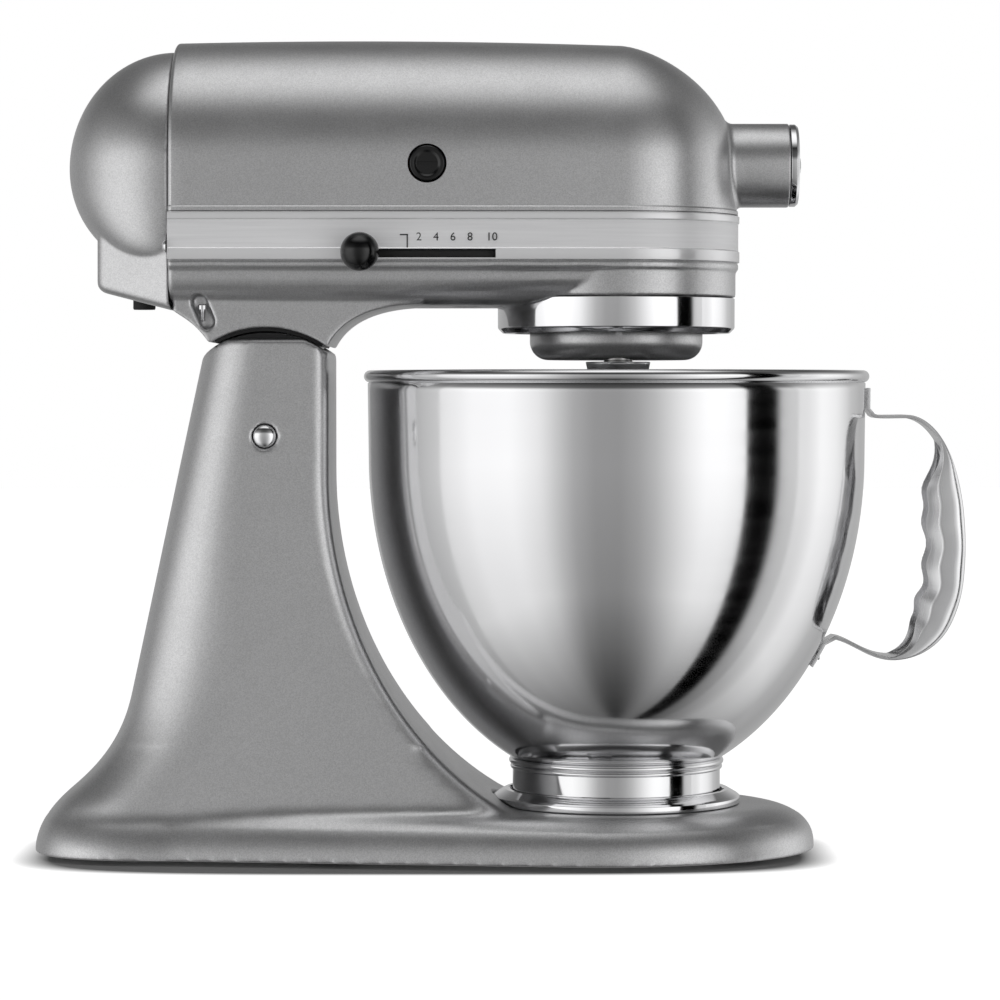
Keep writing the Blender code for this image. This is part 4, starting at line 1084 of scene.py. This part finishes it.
def clamp_plate():
    """The bowl's twist-lock plate: a polished dish with a bevelled lip and four entry notches."""
    low = BASE_TOP_Z + 0.3
    outline = [(14, low), (PLATE_R, low), (PLATE_R, 24.6), (52.7, 25.4), (48.6, 27.75)]
    outline += [(46.0, 27.75), (46.0, 26.7), (47.2, 26.7), (47.2, 24.2), (14, 24.2)]
    tools = []
    for number in range(4):
        angle = math.radians(90 * number + 45 + 32)
        spread = math.radians(8)
        notch = []
        for radius, turn in ((43, -1), (47.1, -1), (47.1, 1), (43, 1)):
            bearing = angle + turn * spread
            notch.append((radius * math.cos(bearing), radius * math.sin(bearing)))
        tools.append(loft([[(x, y, z) for x, y in notch] for z in (24.25, 30)]))
    for number in range(1, 4):
        node = f"plate_screw_{number}"
        x, y, _ = middle(node)
        countersink = [(0, 18), (2.2, 18), (2.2, 22.9), (4.9, 22.9), (4.9, 27), (0, 27)]
        tools.append(turned(countersink, 48, at=(x, y, 0)))
        head = [(0, 23.2), (4.3, 23.2), (4.4, 24.2), (3.7, 25.0), (1.8, 25.35), (0, 25.4)]
        along = block((x - 2.6, y - 0.5, 24.4), (x + 2.6, y + 0.5, 27))
        across = block((x - 0.5, y - 2.6, 24.4), (x + 0.5, y + 2.6, 27))
        screw = cut(turned(head, 48, at=(x, y, 0)), along, across)
        obj_from(f"clamp_screw_{number}", screw, "stand", "gear_steel", [node], 40)
    plate = cut(turned(rounded(outline, 0.35, 3, closed=True), 160, hollow=True), *tools)
    obj_from("clamp_dish", plate, "stand", "chrome", ["bowl_clamp_plate"], 40)


# ---------------------------------------------------------------- bowl

BOWL_RIM_R = span("bowl_shell", 1)[1]
BOWL_RIM_Z = 206.4
BOWL_WALL_R = 107.5
BOWL_CURVE_Z = 172.0
BOWL_DEPTH = 144.0
FOOT_TOP_Z = 41.5
FOOT_R = 45.0


def bowl_radius(z):
    """Outside radius of the bowl's wall: nearly upright above, an ellipse below."""
    if z >= BOWL_CURVE_Z:
        return BOWL_WALL_R + 0.5 * (z - BOWL_CURVE_Z) / (BOWL_RIM_Z - BOWL_CURVE_Z)
    return BOWL_WALL_R * math.sqrt(1 - ((BOWL_CURVE_Z - z) / BOWL_DEPTH) ** 2)


def bowl():
    """Spun stainless bowl with a rolled rim and a dimpled floor."""
    levels = [FOOT_TOP_Z + (BOWL_CURVE_Z - FOOT_TOP_Z) * (i / 60) ** 1.3 for i in range(61)]
    levels += [BOWL_CURVE_Z + (203.4 - BOWL_CURVE_Z) * i / 8 for i in range(1, 9)]
    wall = [(bowl_radius(z), z) for z in levels]
    outside = [(0, 39.2)] + bezier((4, 38.6), (9, 36.2), (22, 35.6), (38, 37.9), 12) + wall
    inside = [(r - 1.0, z) for r, z in wall]
    floor = [(38, 38.9)] + bezier((22, 36.7), (12, 36.4), (8, 37.6), (2, 40.2), 10) + [(0, 40.4)]
    roll = arc((BOWL_RIM_R - 2.6, BOWL_RIM_Z), 2.6, -80, 190, 20)
    profile = outside + roll + inside[::-1] + floor
    obj_from("bowl_body", turned(profile, 256), "bowl", "polished_steel", ["bowl_shell"], 60)


def bowl_foot():
    """The pressed foot ring: a beaded top edge, a plain wall and four locking lugs."""
    low = span("bowl_foot", 2)[0]
    wall = [(FOOT_R - 1.2, low), (FOOT_R, low), (FOOT_R, 36.4)]
    wall += arc((FOOT_R - 0.1, 37.5), 1.1, -80, 70, 8)
    wall += arc((FOOT_R + 0.2, 40.0), 1.4, -60, 100, 8)
    wall += [(FOOT_R - 1.2, 41.0), (FOOT_R - 1.2, 39)]
    steps = []
    for number in range(4):
        angle = math.radians(90 * number + 45)
        spread = math.radians(5)
        lug = []
        for radius, turn in ((44.2, -1), (46.5, -0.9), (46.5, 0.9), (44.2, 1)):
            bearing = angle + turn * spread
            lug.append((radius * math.cos(bearing), radius * math.sin(bearing)))
        steps.append(("UNION", loft([[(x, y, z) for x, y in lug] for z in (24.8, 26.2)])))
    ring = combined(turned(wall, 192, hollow=True), steps)
    obj_from("bowl_foot_ring", ring, "bowl", "polished_steel", ["bowl_foot"], 50)


def grip_depth(share):
    """How far the grip's wings fold in towards the bowl, in four finger waves."""
    body = between(share, 0.2, 0.36) * (1 - between(share, 0.64, 0.82))
    return body * (15.4 + 1.0 * math.cos(2 * math.pi * 4 * (share - 0.31) / 0.4))


def handle_path():
    """The strap's outer face in side view: a tab up the bowl's wall, the grip, a tab down."""
    upper = [(bowl_radius(z) + 2.3, z) for z in (201.4, 199, 197, 194.5, 192.5)]
    reach = bezier((111.4, 190.2), (113, 189.4), (118, 189.8), (125.5, 189.8), 12)
    over = bezier((127.5, 189.6), (143, 186.4), (150.8, 160), (150.8, 135), 28)
    under = bezier((150.8, 132), (150.8, 105), (143, 87), (123, 84.2), 28)
    home = bezier((120, 83.9), (109, 83.6), (103, 90.4), (94.6, 92.6), 14)
    lower = [(bowl_radius(z) + 2.3, z) for z in (90.2, 87.5, 85, 82.8, 80.6)]
    return upper + reach + over + under + home + lower


def handle():
    """The handle: steel strip pressed into a channel whose wings wave along the fingers."""
    path = handle_path()
    lengths = [0]
    for (x0, z0), (x1, z1) in zip(path, path[1:]):
        lengths.append(lengths[-1] + math.hypot(x1 - x0, z1 - z0))
    thick = 1.5
    lip = 0.4
    rings = []
    for i, (x, z) in enumerate(path):
        before = path[max(i - 1, 0)]
        after = path[min(i + 1, len(path) - 1)]
        run = math.hypot(after[0] - before[0], after[1] - before[1])
        inward = ((after[1] - before[1]) / run, -(after[0] - before[0]) / run)
        share = lengths[i] / lengths[-1]
        depth = max(grip_depth(share), lip)
        half = 11 + 3 * between(share, 0.16, 0.34) * (1 - between(share, 0.76, 0.94))
        folded = min(depth / 16, 1)
        corner = 2.0 + 6.5 * folded
        curl, hem = 3.0 * folded, 5.5 * folded
        skins = []
        for skin in (0, 1):
            reach = half - skin * thick
            bend = max(corner - skin * thick, 0.4)
            half_rows = [(-reach + curl, depth + lip, 0), (-reach, depth + lip - hem, 4 * folded)]
            half_rows += [(-reach, skin * thick, bend)]
            rows = half_rows + [(-y, d, r) for y, d, r in reversed(half_rows)]
            skins.append(rounded(rows, bend, 8))
        flat = []
        for skin, rows in enumerate(skins):
            filled = []
            for (y0, d0), (y1, d1) in zip(rows, rows[1:]):
                filled.append((y0, d0))
                steps = range(1, 8) if abs(y1 - y0) > 6 else ()
                filled += [(y0 + (y1 - y0) * k / 8, d0 + (d1 - d0) * k / 8) for k in steps]
            filled.append(rows[-1])
            flat += filled if skin == 0 else filled[::-1]
        ring = []
        tab = i < 5 or i > len(path) - 6
        for y, d in flat:
            d = min(d, lip + thick) if tab or depth <= lip else d
            hug = bowl_radius(z) - math.sqrt(bowl_radius(z) ** 2 - y * y) if tab else 0
            ring.append((x + inward[0] * d - hug, y, z + inward[1] * d))
        rings.append(ring)
    strip = loft(rings)
    obj_from("handle_strip", strip, "bowl", "pressed_steel", ["bowl_handle"], 40)


def welds():
    """Four spot welds that hold the handle's tabs to the bowl."""
    for z in (196.0, 85.5):
        for letter, y in (("a", -6.5), ("b", 6.5)):
            spot = bowl_radius(z) + 2.2 - (bowl_radius(z) - math.sqrt(bowl_radius(z) ** 2 - y * y))
            dot = [(0, spot - 1.4), (1.9, spot - 1.4), (1.9, spot - 0.1), (1.4, spot + 0.06)]
            dot = turned(rounded(dot + [(0, spot + 0.06)], 0.3, 3), 32, "X", (0, y, z))
            name = f"weld_{int(z)}_{letter}"
            obj_from(name, dot, "bowl", "pressed_steel", [], 50)


# ---------------------------------------------------------------- drive and controls


def drip_ring():
    low, high = span("drip_ring", 2)
    profile = [(44, low + 0.8, 0.3), (45.6, low + 0.1, 0.5), (49.2, low, 1.2)]
    profile += [(51.4, low + 2.2, 1.6), (51.45, high, 0.4), (44, high, 0.4)]
    ring = turned(rounded(profile, 0.5, 5, closed=True), 192, hollow=True)
    obj_from("trim_ring", ring, "head", "chrome", ["drip_ring"], 50)


def planetary():
    """The planetary hub under the ring: a painted drum with a deeply rounded lower edge."""
    x, y, _ = middle("agitator_shaft")
    low, high = span("planetary", 2)
    profile = [(0, low), (24, low), (29.6, low)] + arc((29.6, low + 7.9), 7.9, -90, 0, 14)
    profile += [(37.5, high - 9.0), (37.1, high - 8.6), (37.1, high - 8.0), (37.5, high - 7.6)]
    profile += [(37.5, high), (0, high)]
    bores = [rod(6.8, low - 6, high + 5, 64, at=at) for at in ((x, y, 0), (0, 0, 0))]
    drum = cut(turned(profile, 160), *bores, rod(1.4, -50, 0, 24, "Y", (0, 0, 230)))
    obj_from("planetary_drum", drum, "planetary", "grey_enamel", ["planetary"], 45)


def agitator_shaft():
    """The beater's shaft with a collar groove, and the cross pin that locks the beater on."""
    x, y, _ = middle("agitator_shaft")
    low, high = span("agitator_shaft", 2)
    profile = [(0, low), (5.2, low), (6.15, low + 1.0), (6.15, 212.9), (5.9, 213.1), (6.15, 213.3)]
    profile += [(6.15, high), (0, high)]
    pin_z = middle("beater_pin")[2]
    bore = rod(1.7, -10, 10, 32, "X", (x, y, pin_z))
    shaft = cut(turned(profile, 64, at=(x, y, 0)), bore)
    obj_from("beater_shaft", shaft, "beater", "gear_steel", ["agitator_shaft"], 40)
    half = [(0, -10.4), (1.0, -10.4), (1.4, -10.0)]
    pin = turned(half + [(r, -d) for r, d in reversed(half)], 32, "X", (x, y, pin_z))
    obj_from("bayonet_pin", pin, "beater", "gear_steel", ["beater_pin"], 40)


def flat_beater():
    """The flat beater as a tumbled casting: its edges rounded and its crotches filled."""
    solid = cast(copy_of("flat_beater"), 0.6, 8)
    obj_from("beater_casting", solid, "beater", "cast_aluminium", ["flat_beater"], 60)


def speed_control():
    """The speed lever's ball knob on its bright neck, and the lever behind the slot."""
    x, y, z = middle("speed_knob")
    low, high = span("speed_knob", 1)
    length = (high - low) / 2
    profile = [(0, y - length)]
    for i in range(1, 25):
        turn = math.pi * i / 26
        profile.append((8.15 * math.sin(turn) ** 0.92, y - length * math.cos(turn)))
    profile += [(3.4, y + length - 0.5), (3.2, y + length), (0, y + length)]
    knob = turned(profile, 64, "Y", (x, 0, z))
    obj_from("lever_knob", knob, "speed_control", "black_plastic", ["speed_knob"], 60)
    lever = softened(copy_of("speed_lever"), 0.25, 2, 25)
    obj_from("lever_strip", lever, "speed_control", "gear_steel", ["speed_lever"], 40)


def lock_control():
    """The head lock: a chromed lever on its shaft, with a small black grip."""
    lever = cast(copy_of("lock_lever"), 0.35, 4)
    obj_from("lock_arm", lever, "lock", "chrome", ["lock_lever"], 60)
    x, y, z = middle("lock_knob")
    low, high = span("lock_knob", 1)
    profile = [(0, low), (5, low), (6.4, low + 1.6), (6.9, low + 4.5), (6.9, low + 6.8)]
    profile += [(5.6, high - 1.0), (3.0, high, 1.5), (0, high)]
    knob = turned(rounded(profile, 0.8, 5), 64, "Y", (x, 0, z))
    obj_from("lock_grip", knob, "lock", "black_plastic", ["lock_knob"], 60)


def cord_inlet():
    """The rubber bush in the end cover's floor where a lead would enter."""
    x, y, _ = middle("cord_inlet")
    low, high = span("cord_inlet", 2)
    profile = [(3.2, low + 0.4), (3.6, low), (4.6, low), (4.9, low + 0.5), (4.9, high), (3.2, high)]
    bush = turned(profile, 64, at=(x, y, 0), hollow=True)
    obj_from("inlet_bush", bush, "head", "rubber", ["cord_inlet"], 40)


def inner_nodes():
    """Finishes for the CAD nodes that stay as they are: the gears, motor and other inner pieces."""
    slots = {entry["node"]: entry["material_slot"] for entry in frame["record"]["subparts"]}
    for node, obj in frame["nodes"].items():
        if obj.hide_render:
            continue
        look = slots[node]
        if not obj.material_slots:
            obj.data.materials.append(LOOKS[look])
        for material_slot in obj.material_slots:
            material_slot.material = LOOKS[look]


# ---------------------------------------------------------------- studio


# Brightness in steps of (sine of elevation, value), and of (sine of bearing, value) with the
# right at 1, for the half of the room before the mixer and the half behind it.
ROOM_FRONT = (
    (-1, 0.1), (-0.88, 0.3), (-0.6, 0.75), (-0.1, 0.98), (0, 1.02), (0.22, 1.08),
    (0.38, 0.28), (0.74, 0.03), (0.84, 0.5), (0.92, 1.3), (1, 1.6),
)
ROOM_BACK = (
    (-1, 0.1), (-0.88, 0.3), (-0.6, 0.7), (-0.1, 0.9), (0.15, 0.95), (0.4, 0.4),
    (0.65, 0.12), (0.85, 0.15), (0.95, 0.7), (1, 1.6),
)
WALLS_FRONT = (
    (-1, 1.35), (-0.95, 1.6), (-0.78, 1.65), (-0.6, 1.35), (-0.48, 0.96), (-0.36, 0.66),
    (-0.2, 0.5), (0, 0.48), (0.15, 0.6), (0.28, 0.8), (0.41, 1.12), (0.53, 1.44), (0.64, 1.68),
    (0.75, 1.68), (0.862, 1.5), (0.868, 0), (0.974, 0), (0.98, 0.75), (1, 1.0),
)
WALLS_BACK = (
    (-1, 1.0), (-0.9, 0.45), (-0.5, 0.6), (0.5, 0.7), (0.7, 0.9), (0.87, 1.5), (0.96, 1.7),
    (1, 1.3),
)
CEILING = ((-1, 0), (0.45, 0), (0.85, 1), (1, 1))
REAR_HALF = ((-1, 0), (-0.1, 0), (0.1, 1), (1, 1))
FLOOR_SIZE = 6
FLOOR_GLOW = 0.95
# The painted shadow under the base, a dark oval about its middle: 1 / half its length and width in metres.
PAINTED_SHADOW_SHIFT = (0.193, 0, 0)
PAINTED_SHADOW_SCALE = (5.95, 12.5, 1)
CAMERA_AT = (-0.0003, -1.65, 0.2005)


def ray_brightness(tree):
    """Brightness by direction: a soft ceiling, pale walls and one black flag on the right."""
    coords = tree.nodes.new("ShaderNodeTexCoord").outputs["Generated"]
    parts = tree.nodes.new("ShaderNodeSeparateXYZ")
    tree.links.new(coords, parts.inputs["Vector"])

    def maths(operation, *values):
        node = tree.nodes.new("ShaderNodeMath")
        node.operation = operation
        for socket, value in zip(node.inputs, values):
            if isinstance(value, (int, float)):
                socket.default_value = value
            else:
                tree.links.new(value, socket)
        return node.outputs["Value"]

    def curve(source, stops):
        """Brightness along a quantity that runs from -1 to 1."""
        ramp = tree.nodes.new("ShaderNodeValToRGB")
        elements = ramp.color_ramp.elements
        while len(elements) < len(stops):
            elements.new(0.5)
        for element, (value, _) in zip(elements, stops):
            element.position = value / 2 + 0.5
        for element, (_, brightness) in zip(elements, stops):
            element.color = (brightness / 2, brightness / 2, brightness / 2, 1)
        tree.links.new(maths("MULTIPLY_ADD", source, 0.5, 0.5), ramp.inputs["Fac"])
        return maths("MULTIPLY", ramp.outputs["Color"], 2)

    def mixed(share, first, second):
        return maths("ADD", first, maths("MULTIPLY", share, maths("SUBTRACT", second, first)))

    up = parts.outputs["Z"]
    level = maths("SQRT", maths("SUBTRACT", 1.0001, maths("MULTIPLY", up, up)))
    bearing = maths("DIVIDE", parts.outputs["X"], level)
    behind = maths("GREATER_THAN", parts.outputs["Y"], 0)
    walls = mixed(behind, curve(bearing, WALLS_FRONT), curve(bearing, WALLS_BACK))
    walls = mixed(curve(up, CEILING), walls, 1)
    rear = curve(parts.outputs["Y"], REAR_HALF)
    return maths("MULTIPLY", walls, mixed(rear, curve(up, ROOM_FRONT), curve(up, ROOM_BACK)))


def studio_world():
    world = bpy.data.worlds.new("studio")
    bpy.context.scene.world = world
    world.use_nodes = True
    tree = world.node_tree
    tree.nodes.clear()
    lit = tree.nodes.new("ShaderNodeBackground")
    tree.links.new(ray_brightness(tree), lit.inputs["Strength"])
    seen = tree.nodes.new("ShaderNodeBackground")
    seen.inputs["Color"].default_value = (1, 1, 1, 1)
    path = tree.nodes.new("ShaderNodeLightPath")
    mix = tree.nodes.new("ShaderNodeMixShader")
    tree.links.new(path.outputs["Is Camera Ray"], mix.inputs["Fac"])
    tree.links.new(lit.outputs["Background"], mix.inputs[1])
    tree.links.new(seen.outputs["Background"], mix.inputs[2])
    output = tree.nodes.new("ShaderNodeOutputWorld")
    tree.links.new(mix.outputs["Shader"], output.inputs["Surface"])


def floor():
    """A plain floor that glows white to meet the background, except for a painted shadow under
    the mixer's base: a soft dark oval where the glow fades out.  Reflections and bounced light don't see it: they
    see the studio's world."""
    solid = bmesh.new()
    bmesh.ops.create_grid(solid, x_segments=8, y_segments=8, size=FLOOR_SIZE)
    mesh = bpy.data.meshes.new("floor")
    solid.to_mesh(mesh)
    solid.free()
    obj = bpy.data.objects.new("floor", mesh)
    bpy.context.scene.collection.objects.link(obj)
    material = bpy.data.materials.new("look_floor")
    material.use_nodes = True
    shader = material.node_tree.nodes["Principled BSDF"]
    shader.inputs["Base Color"].default_value = (0.22, 0.22, 0.22, 1)
    shader.inputs["Roughness"].default_value = 0.6
    shader.inputs["Specular IOR Level"].default_value = 0.1
    shader.inputs["Emission Color"].default_value = (1, 1, 1, 1)
    tree = material.node_tree
    spot = tree.nodes.new("ShaderNodeTexCoord").outputs["Object"]
    away = tree.nodes.new("ShaderNodeMapping")
    away.inputs["Location"].default_value = PAINTED_SHADOW_SHIFT
    away.inputs["Scale"].default_value = PAINTED_SHADOW_SCALE
    squared = tree.nodes.new("ShaderNodeVectorMath")
    squared.operation = "MULTIPLY"
    distance = tree.nodes.new("ShaderNodeVectorMath")
    distance.operation = "LENGTH"
    # The glow falls to nothing inside the oval: this is the painted shadow under the base.
    glow = tree.nodes.new("ShaderNodeMapRange")
    glow.inputs["From Min"].default_value = 0.92
    glow.inputs["From Max"].default_value = 1.12
    glow.inputs["To Max"].default_value = FLOOR_GLOW
    tree.links.new(spot, away.inputs["Vector"])
    tree.links.new(away.outputs["Vector"], squared.inputs[0])
    tree.links.new(away.outputs["Vector"], squared.inputs[1])
    tree.links.new(squared.outputs["Vector"], distance.inputs[0])
    tree.links.new(distance.outputs["Value"], glow.inputs["Value"])
    tree.links.new(glow.outputs["Result"], shader.inputs["Emission Strength"])
    mesh.materials.append(material)
    obj.visible_glossy = False
    obj.visible_diffuse = False


def area_light(name, place, target, size, power):
    light = bpy.data.lights.new(name, "AREA")
    light.shape = "RECTANGLE"
    light.size, light.size_y = size
    light.energy = power
    obj = bpy.data.objects.new(name, light)
    obj.location = place
    obj.rotation_euler = (Vector(target) - Vector(place)).to_track_quat("-Z", "Y").to_euler()
    obj.visible_camera = False
    obj.visible_glossy = False
    bpy.context.scene.collection.objects.link(obj)


def camera():
    """Square on to the side, level, from about 1.65 m away."""
    data = bpy.data.cameras.new("camera")
    data.sensor_width = 36
    data.lens = 136.6
    data.shift_y = -0.11
    data.clip_end = 50
    obj = bpy.data.objects.new("camera", data)
    obj.location = CAMERA_AT
    obj.rotation_euler = (math.pi / 2, 0, 0)
    bpy.context.scene.collection.objects.link(obj)
    bpy.context.scene.camera = obj


camera()
floor()
studio_world()
area_light("overhead", (0.0, -0.35, 1.3), (0.0, 0.0, 0.25), (1.1, 0.4), 2)
bpy.context.scene.view_settings.view_transform = "Standard"

for build in (
    upper_casting,
    hub_barrel,
    brush_caps,
    hub_cap,
    attachment_knob,
    trim_band,
    dial_marks,
    slot_liner,
    lower_casting,
    end_cover,
    screws,
    stand,
    seat_liners,
    hinge_pin,
    feet,
    clamp_plate,
    bowl,
    bowl_foot,
    handle,
    welds,
    drip_ring,
    planetary,
    agitator_shaft,
    flat_beater,
    speed_control,
    lock_control,
    cord_inlet,
    inner_nodes,
):
    build()

bpy.context.view_layer.update()
